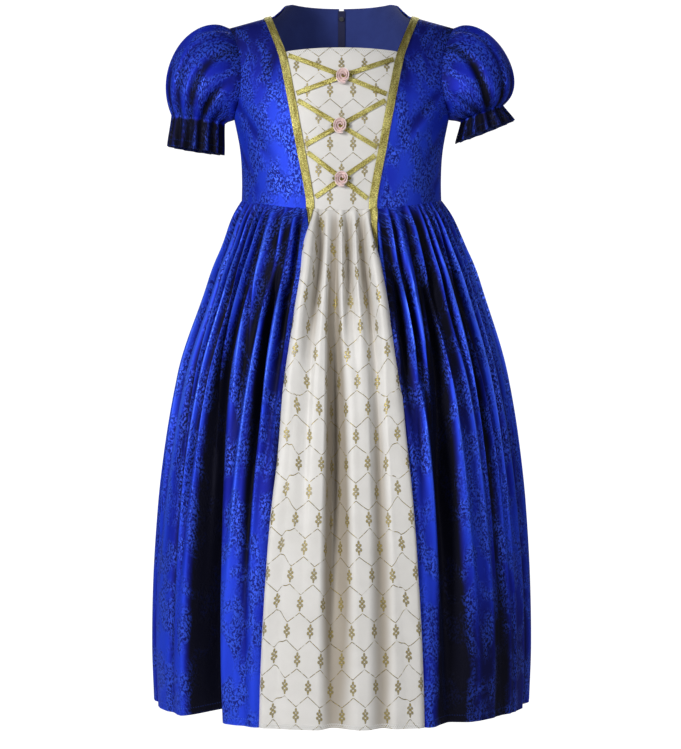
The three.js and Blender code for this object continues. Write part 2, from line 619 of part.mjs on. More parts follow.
// A ribbon rosebud and two leaf loops sewn on each crossing. Their group's +Z points outwards.
const roseProfile = ROSE_PROFILE.map(({ radius, height }) => new THREE.Vector2(radius, height));
function leafShape() {
  const shape = new THREE.Shape();
  shape.moveTo(0, -LEAF_WIDTH / 4);
  shape.quadraticCurveTo(LEAF_LENGTH / 2, -LEAF_WIDTH, LEAF_LENGTH, 0);
  shape.quadraticCurveTo(LEAF_LENGTH / 2, LEAF_WIDTH, 0, LEAF_WIDTH / 4);
  return shape;
}
function turnedSolid(profile, sides) {
  const geometry = new THREE.LatheGeometry(profile, sides).rotateX(Math.PI / 2);
  geometry.deleteAttribute('normal');
  geometry.deleteAttribute('uv');
  return facingOut(mergeVertices(geometry, WELD));
}
for (const { pair } of LACES) {
  const spot = crossings[pair];
  const angle = angleAt(spot.x, spot.y);
  const normal = normalOf(bodicePoint, angle, spot.y, STEP, 1);
  const sewn = new THREE.Group();
  sewn.position.copy(bodicePoint(angle, spot.y))
    .addScaledVector(normal, LYING_GAP + RIBBON + LACE_RISE + SEAM_GAP);
  sewn.quaternion.setFromUnitVectors(new THREE.Vector3(0, 0, 1), normal);
  dress.add(sewn);
  const rose = turnedSolid(roseProfile, ROSE_SIDES);
  addPiece(`rosebud_${pair}`, rose, materials.rose(), sewn);
  for (const [side, word] of [[1, 'left'], [-1, 'right']]) {
    const leaf = new THREE.ExtrudeGeometry(
      leafShape(), { depth: RIBBON, bevelEnabled: false, curveSegments: LEAF_CURVE_PARTS },
    );
    const piece = addPiece(`leaf_${pair}_${word}`, leaf, materials.leaf(), sewn);
    piece.position.set(side * (LEAF_START + SEAM_GAP), 0, 0);
    piece.rotation.z = side > 0 ? 0 : Math.PI;
  }
}

// Skirt pieces, each from one seam to the next round the waist.
function skirtGrid(startAt, endAt, columns) {
  const grid = [];
  const normals = [];
  for (const drop of SKIRT_ROWS) {
    const [start, end] = [startAt(drop), endAt(drop)];
    const angles = [];
    for (let column = 0; column <= columns; column += 1) angles.push(mix(start, end, column / columns));
    grid.push(angles.map((angle) => skirtPoint(angle, drop)));
    normals.push(angles.map((angle) => {
      const normal = normalOf(skirtPoint, angle, drop, SKIRT_STEP, -1);
      return drop === 0 ? normal.setZ(0).normalize() : normal;
    }));
  }
  return { grid, normals };
}
const sideSeam = () => SIDE_SEAM_ANGLE * DEGREE;
const centreBack = () => BACK_SEAM_ANGLE * DEGREE;
const SKIRT_PIECES = [
  { name: 'skirt_front_centre', cloth: 'satin', start: (drop) => -seamAngle(drop), end: seamAngle,
    gathers: GATHERS.frontCentre },
  { name: 'skirt_front_left', cloth: 'velvet', start: seamAngle, end: sideSeam, gathers: GATHERS.front },
  { name: 'skirt_front_right', cloth: 'velvet', start: () => -sideSeam(), end: (drop) => -seamAngle(drop),
    gathers: GATHERS.front },
  { name: 'skirt_back_left', cloth: 'velvet', start: sideSeam, end: centreBack, gathers: GATHERS.back },
  { name: 'skirt_back_right', cloth: 'velvet', start: () => -centreBack(), end: () => -sideSeam(),
    gathers: GATHERS.back },
];
const skirtCloth = {};
for (const { name, cloth, start, end, gathers } of SKIRT_PIECES) {
  const { grid, normals } = skirtGrid(start, end, gathers * COLUMNS_A_GATHER);
  skirtCloth[name] = { grid, normals };
  const thickness = cloth === 'satin' ? SATIN : VELVET;
  addPiece(name, clothBody(grid, normals, 0, thickness, false), materials[cloth]());
}

// Gold ribbon down each skirt seam, lying on both cloths' rows of points.
const TRIM_SPOTS = [-1, -0.5, 0, 0.5, 1].map((share) => share * RIBBON_WIDTH / 2);
const TRIM_GAP = 0.95;
function alongRow(points, start, distance) {
  const way = Math.sign(distance);
  let left = Math.abs(distance);
  let at = start;
  while (left > 0 && points[at + way]) {
    const length = points[at].distanceTo(points[at + way]);
    if (length >= left) return { from: at, to: at + way, share: left / length };
    left -= length;
    at += way;
  }
  return { from: at, to: at, share: 0 };
}
for (const [sign, word] of [[1, 'left'], [-1, 'right']]) {
  const [first, second] = sign > 0
    ? [skirtCloth.skirt_front_centre, skirtCloth.skirt_front_left]
    : [skirtCloth.skirt_front_right, skirtCloth.skirt_front_centre];
  const grid = [];
  const normals = [];
  SKIRT_ROWS.forEach((drop, row) => {
    const points = [...first.grid[row], ...second.grid[row].slice(1)];
    const facing = [...first.normals[row], ...second.normals[row].slice(1)];
    const spots = TRIM_SPOTS.map((distance) => alongRow(points, first.grid[row].length - 1, distance));
    const between = (list) => spots.map(({ from, to, share }) => list[from].clone().lerp(list[to], share));
    grid.push(between(points));
    normals.push(between(facing).map((normal) => normal.normalize()));
  });
  const ribbon = clothBody(grid, normals, TRIM_GAP + RIBBON, RIBBON, false);
  addPiece(`skirt_trim_${word}`, ribbon, materials.gold());
}

// A puff sleeve: cloth from the armhole swells over the arm and is drawn in by elastic, with
// the frill of its own hem below. Turn 0 is the top and outer side, pi the underarm.
function sleevePoint(sleeve, turn, down) {
  const [angle, height] = armholeSpot(Math.abs(turn));
  const seam = bodicePoint(turn < 0 ? Math.PI - angle : angle, height);
  const fromArmhole = new THREE.Vector3(0, -Math.sin(turn), Math.cos(turn));
  seam.addScaledVector(fromArmhole, -HEAD_INSIDE).add(new THREE.Vector3(HEAD_OUT, 0, 0));
  const { cuff, crown, frill } = sleeve;
  const outwards = new THREE.Vector3(cuff.outX, 0, cuff.outHeight);
  const halfWidth = outwards.length();
  outwards.normalize();
  const upwards = new THREE.Vector3(-outwards.z, 0, outwards.x);
  const fromCuff = outwards.clone().multiplyScalar(Math.cos(turn)).setY(-Math.sin(turn));
  const wave = -Math.cos(CUFF_GATHERS * turn);
  const ring = (centreX, centreHeight, wide, deep) => new THREE.Vector3(centreX, 0, centreHeight)
    .addScaledVector(outwards, wide * Math.cos(turn)).add(new THREE.Vector3(0, -deep * Math.sin(turn), 0));
  const elastic = ring(cuff.x, cuff.height, halfWidth, cuff.halfDepth);
  if (down > 1) {
    const share = down - 1;
    const edge = ring(cuff.x + frill.x, cuff.height + frill.height, frill.halfWidth, frill.halfDepth);
    const reach = mix(CUFF_GATHER_HEIGHT, FRILL_WAVE, ease(share)) * wave;
    return elastic.lerp(edge, share).addScaledVector(fromCuff, reach);
  }
  const over = (1 + Math.cos(turn)) / 2;
  const swelling = 1 - (1 - over) ** 2;
  const first = seam.clone()
    .addScaledVector(fromArmhole, PUFF_FROM_HEAD.lift + PUFF_FROM_HEAD.swell * swelling);
  first.x += PUFF_FROM_HEAD.out + PUFF_FROM_HEAD.outSwell * over;
  const second = elastic.clone().addScaledVector(upwards, PUFF_FROM_CUFF.lift + crown.rise * over)
    .addScaledVector(fromCuff, PUFF_FROM_CUFF.out + crown.swell * swelling);
  const point = new THREE.CubicBezierCurve3(seam, first, second, elastic).getPoint(clamp(down, 0, 1));
  const cuffPull = ease((down - CUFF_PULL_FROM) / (1 - CUFF_PULL_FROM)) * CUFF_GATHER_HEIGHT;
  const headPull = ease(down / HEAD_PULL.grownBy) * ease((HEAD_PULL.goneBy - down) / HEAD_PULL.goesOver)
    * ease((Math.cos(turn) + HEAD_PULL.underArm) / HEAD_PULL.grownTo);
  const outside = fromCuff.clone().lerp(fromArmhole, 1 - down).normalize();
  return point.addScaledVector(outside, wave * (cuffPull + headPull * HEAD_GATHER_HEIGHT));
}
for (const sleeve of SLEEVES) {
  const grid = [];
  const normals = [];
  for (const down of [...PUFF_ROWS, ...FRILL_ROWS.map((share) => 1 + share)]) {
    const turns = [];
    for (let column = 0; column < SLEEVE_COLUMNS; column += 1) {
      turns.push(2 * Math.PI * (column / SLEEVE_COLUMNS) - Math.PI + TURN_NUDGE);
    }
    const surface = (turn, at) => sleevePoint(sleeve, turn, at);
    const steps = { angle: Math.PI / SLEEVE_COLUMNS, height: SLEEVE_STEP_DOWN };
    grid.push(turns.map((turn) => surface(turn, down)));
    normals.push(turns.map((turn) => normalOf(surface, turn, down, steps, 1)));
  }
  const geometry = clothBody(
    mirrored(grid, sleeve.side), mirrored(normals, sleeve.side), 0, VELVET, true,
  );
  addPiece(sleeve.name, geometry, materials.velvet());
}

// Zip tape behind the backs and the closed chain between their edges, both along the surface.
const wasm = await Module();
wasm.setup();
function solidOf(geometry) {
  const plain = geometry.index ? geometry.toNonIndexed() : geometry.clone();
  for (const name of Object.keys(plain.attributes)) if (name !== 'position') plain.deleteAttribute(name);
  const merged = mergeVertices(plain, WELD);
  return new wasm.Manifold(new wasm.Mesh({
    numProp: 3,
    vertProperties: merged.getAttribute('position').array,
    triVerts: new Uint32Array(merged.index.array),
  }));
}
function geometryOf(solid) {
  const mesh = solid.getMesh();
  const geometry = new THREE.BufferGeometry();
  geometry.setAttribute('position', new THREE.BufferAttribute(Float32Array.from(mesh.vertProperties), 3));
  geometry.setIndex([...mesh.triVerts]);
  geometry.computeVertexNormals();
  return geometry;
}
function zipStrip(halfWidth, top, bottom, lift, thickness) {
  const grid = [];
  const normals = [];
  for (let row = 0; row <= ZIP_ROWS; row += 1) {
    const height = mix(top, bottom, row / ZIP_ROWS);
    const angles = [halfWidth, -halfWidth].map((x) => Math.PI - angleAt(x, height));
    const middle = normalOf(bodicePoint, Math.PI, height, STEP, 1);
    grid.push(angles.map((angle) => bodicePoint(angle, height)));
    normals.push(angles.map(() => middle));
  }
  return clothBody(grid, normals, lift, thickness, false);
}
const TAPE_LIFT = -VELVET - SEAM_GAP;
const zipAt = bodicePoint(Math.PI, SLIDER_AT);
const zipNormal = normalOf(bodicePoint, Math.PI, SLIDER_AT, STEP, 1);
const zipLean = Math.atan2(zipNormal.z, zipNormal.y);
const box = (width, depth, height, x, y, z) =>
  new THREE.BoxGeometry(width, depth, height).translate(x, y, z);

// The slider's own frame: +Z up along the zip, +Y out of the dress.
const slider = new THREE.Group();
slider.position.copy(zipAt);
slider.rotation.x = zipLean;
dress.add(slider);
const plateTop = SEAM_GAP + SLIDER.plate;
const ringTop = TAPE_LIFT - TAPE - 2 * SEAM_GAP;
const neckMiddle = (SLIDER.neckLow + SLIDER.neckHigh) / 2;
const neckLength = SLIDER.neckHigh - SLIDER.neckLow;
const legs = [-1, 1].map((end) => box(
  2 * BRIDGE.halfWidth, BRIDGE.height, BRIDGE.bar,
  0, plateTop + BRIDGE.height / 2 - JOINED_BY, end * (BRIDGE.halfLength - BRIDGE.bar / 2),
));
const sliderParts = [
  box(2 * SLIDER.halfWidth, SLIDER.plate, 2 * SLIDER.halfLength, 0, SEAM_GAP + SLIDER.plate / 2, 0),
  ...legs,
  box(2 * BRIDGE.halfWidth, BRIDGE.bar, 2 * BRIDGE.halfLength, 0, plateTop + BRIDGE.height - JOINED_BY, 0),
  box(2 * SLIDER.neckHalfWidth, plateTop - ringTop, neckLength, 0, (plateTop + ringTop) / 2, neckMiddle),
  new THREE.CylinderGeometry(SLIDER_RING_RADIUS, SLIDER_RING_RADIUS, SLIDER.plate, RING_SIDES)
    .translate(0, ringTop - SLIDER.plate / 2 + JOINED_BY, neckMiddle),
];
const sliderSolid = sliderParts.map(solidOf).reduce((whole, piece) => whole.add(piece));
addPiece('zip_slider', geometryOf(sliderSolid), materials.metal(), slider);

const slot = box(
  2 * (SLIDER.neckHalfWidth + SEAM_GAP), SLOT_DEPTH, neckLength + 2 * SEAM_GAP, 0, TAPE_LIFT, neckMiddle,
);
slider.updateMatrixWorld(true);
const tape = solidOf(zipStrip(TAPE_HALF_WIDTH, ZIP_TOP, ZIP_BOTTOM, TAPE_LIFT, TAPE))
  .subtract(solidOf(slot.applyMatrix4(slider.matrixWorld)));
addPiece('zip_tape', geometryOf(tape), materials.tape());
const chainTop = SLIDER_AT + (SLIDER.neckLow - SEAM_GAP) * Math.cos(zipLean) - CHAIN_END_GAP;
addPiece('zip_chain', zipStrip(CHAIN_HALF_WIDTH, chainTop, ZIP_BOTTOM, -SEAM_GAP, CHAIN), materials.coil());

// The pull tab hangs from a bar under the slider's bridge, and swings up about +X.
const pull = new THREE.Group();
pull.position.y = plateTop + (BRIDGE.height - BRIDGE.bar) / 2;
pull.rotation.x = PULL_LEAN;
slider.add(pull);
function pullShape() {
  const shape = new THREE.Shape();
  const top = PULL.bar;
  shape.moveTo(-PULL.eyeHalfWidth, top);
  shape.lineTo(PULL.eyeHalfWidth, top);
  shape.lineTo(PULL.eyeHalfWidth, -PULL.eyeLength);
  const roundAt = -PULL.length + PULL.halfWidth;
  const taperAt = -PULL.eyeLength - PULL.taper;
  shape.quadraticCurveTo(PULL.halfWidth, taperAt, PULL.halfWidth, roundAt);
  shape.absarc(0, roundAt, PULL.halfWidth, 0, -Math.PI, true);
  shape.quadraticCurveTo(-PULL.halfWidth, taperAt, -PULL.eyeHalfWidth, -PULL.eyeLength);
  const eye = new THREE.Path();
  const inside = BRIDGE.halfWidth + 2 * SEAM_GAP;
  eye.moveTo(-inside, -top);
  eye.lineTo(-inside, -PULL.eyeLength + PULL.eyeEnd);
  eye.lineTo(inside, -PULL.eyeLength + PULL.eyeEnd);
  eye.lineTo(inside, -top);
  shape.holes.push(eye);
  return shape;
}
const pullBody = new THREE.ExtrudeGeometry(
  pullShape(), { depth: PULL.thickness, bevelEnabled: false, curveSegments: PULL_CURVE_PARTS },
);
pullBody.translate(0, 0, -PULL.thickness / 2).rotateX(Math.PI / 2);
addPiece('zip_pull', pullBody, materials.metal(), pull);

export default dress;
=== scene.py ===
import math

import bpy
import numpy as np
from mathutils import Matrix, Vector


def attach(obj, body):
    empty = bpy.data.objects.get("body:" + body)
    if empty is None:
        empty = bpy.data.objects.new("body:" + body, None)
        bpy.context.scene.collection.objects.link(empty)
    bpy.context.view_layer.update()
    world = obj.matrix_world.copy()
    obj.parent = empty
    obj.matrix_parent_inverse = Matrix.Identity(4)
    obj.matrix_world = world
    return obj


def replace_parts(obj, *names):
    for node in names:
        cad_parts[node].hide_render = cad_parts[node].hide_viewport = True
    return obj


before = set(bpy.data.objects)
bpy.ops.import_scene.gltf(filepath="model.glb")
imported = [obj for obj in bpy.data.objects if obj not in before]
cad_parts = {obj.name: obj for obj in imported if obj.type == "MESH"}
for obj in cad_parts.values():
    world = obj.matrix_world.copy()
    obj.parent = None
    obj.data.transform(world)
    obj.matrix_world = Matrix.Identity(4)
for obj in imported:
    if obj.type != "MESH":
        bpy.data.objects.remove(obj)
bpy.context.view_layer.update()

# The photo's viewpoint: a long lens about two and a half metres in front of the dress, at
# waist height, looking slightly down. Metres, with the front of the dress towards -Y.
camera_data = bpy.data.cameras.new("photo_camera")
camera_data.sensor_width = 36
camera_data.lens = 102.7
camera = bpy.data.objects.new("photo_camera", camera_data)
camera.location = (-0.00117, -2.5, -0.328)
camera.rotation_euler = (math.radians(90 - 1.997), 0, 0)
bpy.context.scene.collection.objects.link(camera)
bpy.context.scene.camera = camera

# Bodice side fronts and backs: crushed velvet, a knit with a pressed nap, blue all through.
# Each is cut flat and shaped by the princess, side and shoulder seams. The seams are turned
# inside, and the zip stands between the backs' folded edges.
MM = 0.001
SHARP_FROM = math.radians(60)
VELVET_THICKNESS = 1.5
SEAM_GAP = 0.3
BODY = {  # height: half width, depth in front, depth behind
    60: (134, 58, 82),
    0: (134, 64, 84),
    -42: (134, 72, 84),
    -70: (133, 78, 84),
    -100: (129, 82, 84),
    -118: (125, 84, 84),
    -155: (118, 86, 82),
    -190: (116, 90, 79),
    -230: (117, 93, 78),
}
BODY_SQUARENESS = 2.6
BODY_FLATNESS = 2.2
SHOULDER_ROUNDING = 150
NECK_POINT_X = 82
SHOULDER_POINT_X = 86
SHOULDER_SLOPE = 12 / 44
NAPE_RISE = 62
ARMHOLE_X = 127.5
ARMHOLE_TIP_X = 2.5
ARMHOLE_HOLLOW = 12
ARMHOLE_HEIGHT = -65
ARMHOLE_HALF_HEIGHT = 53
WAIST = -214
WAIST_DIP = 13
RIBBON_WIDTH = 9.4
STOMACHER_TOP = -42
STOMACHER_CORNER = -45
FLUSH_OVER = 9
PRINCESS_LINE = {2: 86.6, 0: 86, -25: 75.8, -50: 66.7, -96: 57.3, -153: 46.8, -212: 35.9, -230: 35}
NAPE_HEIGHT = 18.6
NAPE_FLAT_HALF = 56
NECK_CORNER_X = NECK_POINT_X - 0.7
NECK_SHARE = 0.6
ZIP_OPENING_HALF = 2.6


def ease(share):
    held = np.clip(share, 0, 1)
    return held * held * (3 - 2 * held)


def mix(start, end, share):
    return start + (end - start) * share


def trough(away, reach):
    """1 in the middle of a soft trough and 0 from its reach on."""
    return np.where(np.abs(away) < reach, (1 + np.cos(np.pi * away / reach)) / 2, 0)


def smooth(table, at, column=0):
    """Reads a table of place: value with a smooth curve through its rows."""
    places = np.array(sorted(table), float)
    values = np.array([np.ravel(table[place])[column] for place in sorted(table)], float)
    rows = np.arange(len(places))
    before, after = np.maximum(rows - 1, 0), np.minimum(rows + 1, len(places) - 1)
    slopes = (values[after] - values[before]) / (places[after] - places[before])
    held = np.clip(at, places[0], places[-1])
    high = np.clip(np.searchsorted(places, held), 1, len(places) - 1)
    low = high - 1
    span = places[high] - places[low]
    t = (held - places[low]) / span
    return (
        values[low] * (2 * t**3 - 3 * t**2 + 1)
        + values[high] * (3 * t**2 - 2 * t**3)
        + span * (slopes[low] * (t**3 - 2 * t**2 + t) + slopes[high] * (t**3 - t**2))
    )


def roundness(angle, squareness, flatness):
    return np.maximum(1 - np.abs(np.sin(angle)) ** squareness, 0) ** (1 / flatness)


def shoulder_line(x):
    slope = -(x - SHOULDER_POINT_X) * SHOULDER_SLOPE
    at_neck = (SHOULDER_POINT_X - NECK_POINT_X) * SHOULDER_SLOPE
    inside = np.clip(1 - (x / NECK_POINT_X) ** 2, 0, 1)
    return np.where(x >= NECK_POINT_X, slope, at_neck + NAPE_RISE * inside**1.5)


def bodice(angle, height):
    """Points of the bodice, angle 0 at the centre front and a half turn at the centre back."""
    x = smooth(BODY, height, 0) * np.sin(angle)
    below = shoulder_line(np.abs(x)) - height
    over = below < 0
    front = (np.cos(angle) >= 0) != over
    z = np.where(over, height + 2 * below, height)
    depth = np.where(front, smooth(BODY, z, 1), smooth(BODY, z, 2))
    fullness = np.sqrt(1 - (1 - np.minimum(np.abs(below) / SHOULDER_ROUNDING, 1)) ** 2)
    y = depth * fullness * roundness(angle, BODY_SQUARENESS, BODY_FLATNESS)
    return np.stack([x, np.where(front, -y, y), z], axis=-1)


def angle_at(x, height):
    return np.arcsin(np.clip(x / smooth(BODY, height, 0), -1, 1))


def princess_x(height):
    return smooth(PRINCESS_LINE, height)


def front_edge_x(height):
    flush = ease((height - STOMACHER_CORNER + FLUSH_OVER) / FLUSH_OVER)
    return princess_x(height) - RIBBON_WIDTH / 2 * flush


def waist_height(angle):
    return WAIST - WAIST_DIP * np.maximum(np.cos(angle), 0) ** 2


def armhole(turn):
    """The armhole seam's angle and height, turn 0 at the shoulder and a half turn under the arm."""
    x = ARMHOLE_X + ARMHOLE_TIP_X * np.cos(turn) - ARMHOLE_HOLLOW * np.sin(turn) ** 2
    height = ARMHOLE_HEIGHT + ARMHOLE_HALF_HEIGHT * np.cos(turn)
    return angle_at(x, height), height


def side_edge(down):
    turn_angle, turn_height = armhole(np.pi * np.minimum(down / 0.5, 1))
    underarm = ARMHOLE_HEIGHT - ARMHOLE_HALF_HEIGHT
    below = mix(underarm, WAIST, np.clip((down - 0.5) / 0.5, 0, 1))
    return np.where(down <= 0.5, turn_angle, np.pi / 2), np.where(down <= 0.5, turn_height, below)


def patch(across, down, top, bottom, inner, outer):
    """Fills a four-sided patch from its edges, each a function of a share along it."""
    spots = []
    for part in (0, 1):
        corners = mix(
            mix(top(0.0)[part], top(1.0)[part], across),
            mix(bottom(0.0)[part], bottom(1.0)[part], across),
            down,
        )
        spots.append(
            mix(top(across)[part], bottom(across)[part], down)
            + mix(inner(down)[part], outer(down)[part], across)
            - corners
        )
    return spots


def shares(columns, rows):
    """Shares across and down a grid, as two arrays of rows."""
    return np.meshgrid(np.linspace(0, 1, columns + 1), np.linspace(0, 1, rows + 1))


def facing(surface, first, second, steps, sign):
    """Outward directions of a surface of two parameters."""
    along = surface(first + steps[0], second) - surface(first - steps[0], second)
    up = surface(first, second + steps[1]) - surface(first, second - steps[1])
    normal = np.cross(along, up) * sign
    return normal / np.linalg.norm(normal, axis=-1, keepdims=True)


def arc_lengths(points):
    """Length along each row of a grid, starting from its first column."""
    steps = np.linalg.norm(np.diff(points, axis=1), axis=-1)
    return np.concatenate([np.zeros((len(points), 1)), np.cumsum(steps, axis=1)], axis=1)


def flat_places(points, centre):
    """Where a grid's points lie on the flat cloth: along the row and down the columns."""
    across = arc_lengths(points)
    down = arc_lengths(points.transpose(1, 0, 2)).T
    return np.stack([across - across[:, -1:] * centre, -down], axis=-1)


def drawn_in(points):
    """Draws an open grid's edges in by half a seam's gap."""
    drawn = points.copy()
    for edge, inside in (((slice(None), 0), (slice(None), 1)), ((slice(None), -1), (slice(None), -2)),
                         ((0,), (1,)), ((-1,), (-2,))):
        way = drawn[inside] - drawn[edge]
        drawn[edge] += SEAM_GAP / 2 * way / np.linalg.norm(way, axis=-1, keepdims=True)
    return drawn


def add_mesh(name, vertices, faces, uvs, indices, materials):
    """A named piece of the dress: points in millimetres, a flat place for each face's corner."""
    mesh = bpy.data.meshes.new(name)
    mesh.from_pydata((np.asarray(vertices) * MM).tolist(), [], faces)
    for material in materials:
        mesh.materials.append(material)
    mesh.polygons.foreach_set("material_index", indices)
    layer = mesh.uv_layers.new(name="flat_cloth")
    layer.data.foreach_set("uv", (np.asarray(uvs) * MM).ravel())
    mesh.shade_smooth()
    mesh.set_sharp_from_angle(angle=SHARP_FROM)
    mesh.update()
    piece = bpy.data.objects.new(name, mesh)
    bpy.context.scene.collection.objects.link(piece)
    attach(piece, "dress")
    return piece


def wall_between(name, outer, inner, flat, cloth, ring=False, hollow=None, hem=None):
    """A wall of cloth between two grids of points, with its last material on the inside. cloth is
    a thickness, materials and a slot. A ring closes on its first column. The fields are the shade
    painted on each point, 1 at the darkest and below 0 a painted highlight, and each point's way
    from a hem in millimetres."""
    materials, slot = cloth[1:]
    rows, columns = outer.shape[:2]
    count = rows * columns
    number = np.arange(count).reshape(rows, columns)
    a, b, c, d = number[:-1, :-1], number[:-1, 1:], number[1:, 1:], number[1:, :-1]
    front = np.stack([a, d, c, b], axis=-1).reshape(-1, 4)
    back = np.stack([a, b, c, d], axis=-1).reshape(-1, 4) + count
    lines = [number[0], number[-1][::-1]]
    if not ring:
        lines += [number[:, 0][::-1], number[:, -1]]
    rims = [
        np.stack([line[:-1], line[1:], line[1:] + count, line[:-1] + count], axis=-1) for line in lines
    ]
    faces = np.concatenate([front, back] + rims)
    indices = np.zeros(len(faces), int)
    indices[len(front):len(front) + len(back)] = len(materials) - 1
    vertices = np.concatenate([outer.reshape(-1, 3), inner.reshape(-1, 3)])
    places = np.concatenate([flat.reshape(-1, 2)] * 2)[faces.reshape(-1)]
    if ring:
        wrapped = number.copy()
        wrapped[:, -1] = wrapped[:, 0]
        faces = np.concatenate([wrapped.ravel(), wrapped.ravel() + count])[faces]
        used = np.unique(faces)
        vertices = vertices[used]
        faces = np.searchsorted(used, faces)
    piece = add_mesh(name, vertices, faces.tolist(), places, indices.tolist(), materials)
    for attribute, grid in (("hollow", hollow), ("hem", hem)):
        if grid is None:
            continue
        values = np.concatenate([grid.ravel()] * 2).astype(np.float32)
        values = values[used] if ring else values
        piece.data.attributes.new(attribute, "FLOAT", "POINT").data.foreach_set("value", values)
    return piece


def cloth_wall(name, points, out, levels, flat, cloth, **fields):
    """A wall of cloth between two levels, out from a grid of points."""
    outer, inner = [points + out * level for level in levels]
    return wall_between(name, outer, inner, flat, cloth, **fields)


def srgb(red, green, blue):
    """A colour of the photo, 0 to 255, as Blender's linear colour."""
    parts = [part / 255 for part in (red, green, blue)]
    linear = [part / 12.92 if part <= 0.04045 else ((part + 0.055) / 1.055) ** 2.4 for part in parts]
    return (*linear, 1)


class Shade:
    """A shader socket that Python sums can be written with."""

    def __init__(self, tree, socket):
        self.tree = tree
        self.socket = socket

    def node(self, kind, settings, inputs, output=0):
        """Adds a node: its settings first, then its sockets' values or links."""
        made = self.tree.nodes.new(kind)
        for name, value in settings.items():
            setattr(made, name, value)
        for name, value in inputs.items():
            if isinstance(value, Shade):
                self.tree.links.new(value.socket, made.inputs[name])
            else:
                made.inputs[name].default_value = value
        return Shade(self.tree, made.outputs[output])

    def math(self, operation, *terms):
        return self.node("ShaderNodeMath", {"operation": operation}, dict(enumerate(terms)))

    def __add__(self, other):
        return self.math("ADD", self, other)

    def __sub__(self, other):
        return self.math("SUBTRACT", self, other)

    def __rsub__(self, other):
        return self.math("SUBTRACT", other, self)

    def __mul__(self, other):
        return self.math("MULTIPLY", self, other)

    def __truediv__(self, other):
        return self.math("DIVIDE", self, other)

    __radd__ = __add__
    __rmul__ = __mul__

    def absolute(self):
        return self.math("ABSOLUTE", self)

    def lesser(self, other):
        return self.math("MINIMUM", self, other)

    def greater(self, other):
        return self.math("MAXIMUM", self, other)

    def wave(self, length):
        """A sine wave of a length in metres."""
        return self.math("SINE", self * (2 * math.pi / length))

    def ribs(self, width):
        """Ribs of a width, 1 on their tops and 0 between them."""
        return self.wave(width) * 0.5 + 0.5

    def step(self, low, high):
        """A soft step: 0 at low and 1 at high."""
        return self.node(
            "ShaderNodeMapRange", {"interpolation_type": "SMOOTHSTEP"},
            {"Value": self, "From Min": low, "From Max": high},
        )

    def colours(self, first, second):
        """Mixes two colours by this share."""
        return self.node("ShaderNodeMix", {"data_type": "RGBA"}, {0: self, 6: first, 7: second}, 2)

    def stretched(self, across, down):
        """Scales flat places, so that a texture's cells are that much longer."""
        return self.node(
            "ShaderNodeVectorMath", {"operation": "MULTIPLY"}, {0: self, 1: (1 / across, 1 / down, 1)}
        )

    def noise(self, size, detail=2, distortion=0):
        """Noise with cells of a size in metres, on these places."""
        return self.node(
            "ShaderNodeTexNoise", {},
            {"Vector": self, "Scale": 1 / size, "Detail": detail, "Distortion": distortion},
        )

    def attribute(self, name):
        """A value that the cloth's points hold."""
        return self.node("ShaderNodeAttribute", {"attribute_name": name}, {}, 2)

    def apart(self):
        """This vector's first two parts."""
        parts = self.node("ShaderNodeSeparateXYZ", {}, {0: self})
        return parts, Shade(self.tree, parts.socket.node.outputs[1])

    def bump(self, depth):
        return self.node("ShaderNodeBump", {}, {"Height": self * depth, "Distance": 1, "Strength": 1})


def new_material(name):
    """A material's surface shader and its flat cloth places."""
    material = bpy.data.materials.new(name)
    material.use_nodes = True
    tree = material.node_tree
    surface = tree.nodes["Principled BSDF"]
    places = tree.nodes.new("ShaderNodeTexCoord")
    return material, surface, Shade(tree, places.outputs["UV"])


def finish_surface(surface, fixed, varying):
    """Sets a shader's plain values and links those that vary over the surface."""
    for name, value in fixed.items():
        surface.inputs[name].default_value = value
    for name, value in varying.items():
        value.tree.links.new(value.socket, surface.inputs[name])


VELVET_PAINTED_SHADE = srgb(3, 3, 26)
VELVET_DEEP = srgb(8, 14, 108)
VELVET_MID = srgb(14, 32, 176)
VELVET_LIGHT = srgb(34, 70, 226)
VELVET_GLINT = srgb(70, 112, 250)
PATCH_SIZE = 0.02
SPECK_SIZE = 0.0022
SWEEP_SIZE = 0.06
NAP_DEPTH = 0.0008
HEM_STITCH_AT = 8
STITCH_LENGTH = 0.0028
REVERSE_DARK = srgb(38, 48, 112)
REVERSE_LIGHT = srgb(58, 76, 152)
KNIT_RIB = 0.0009


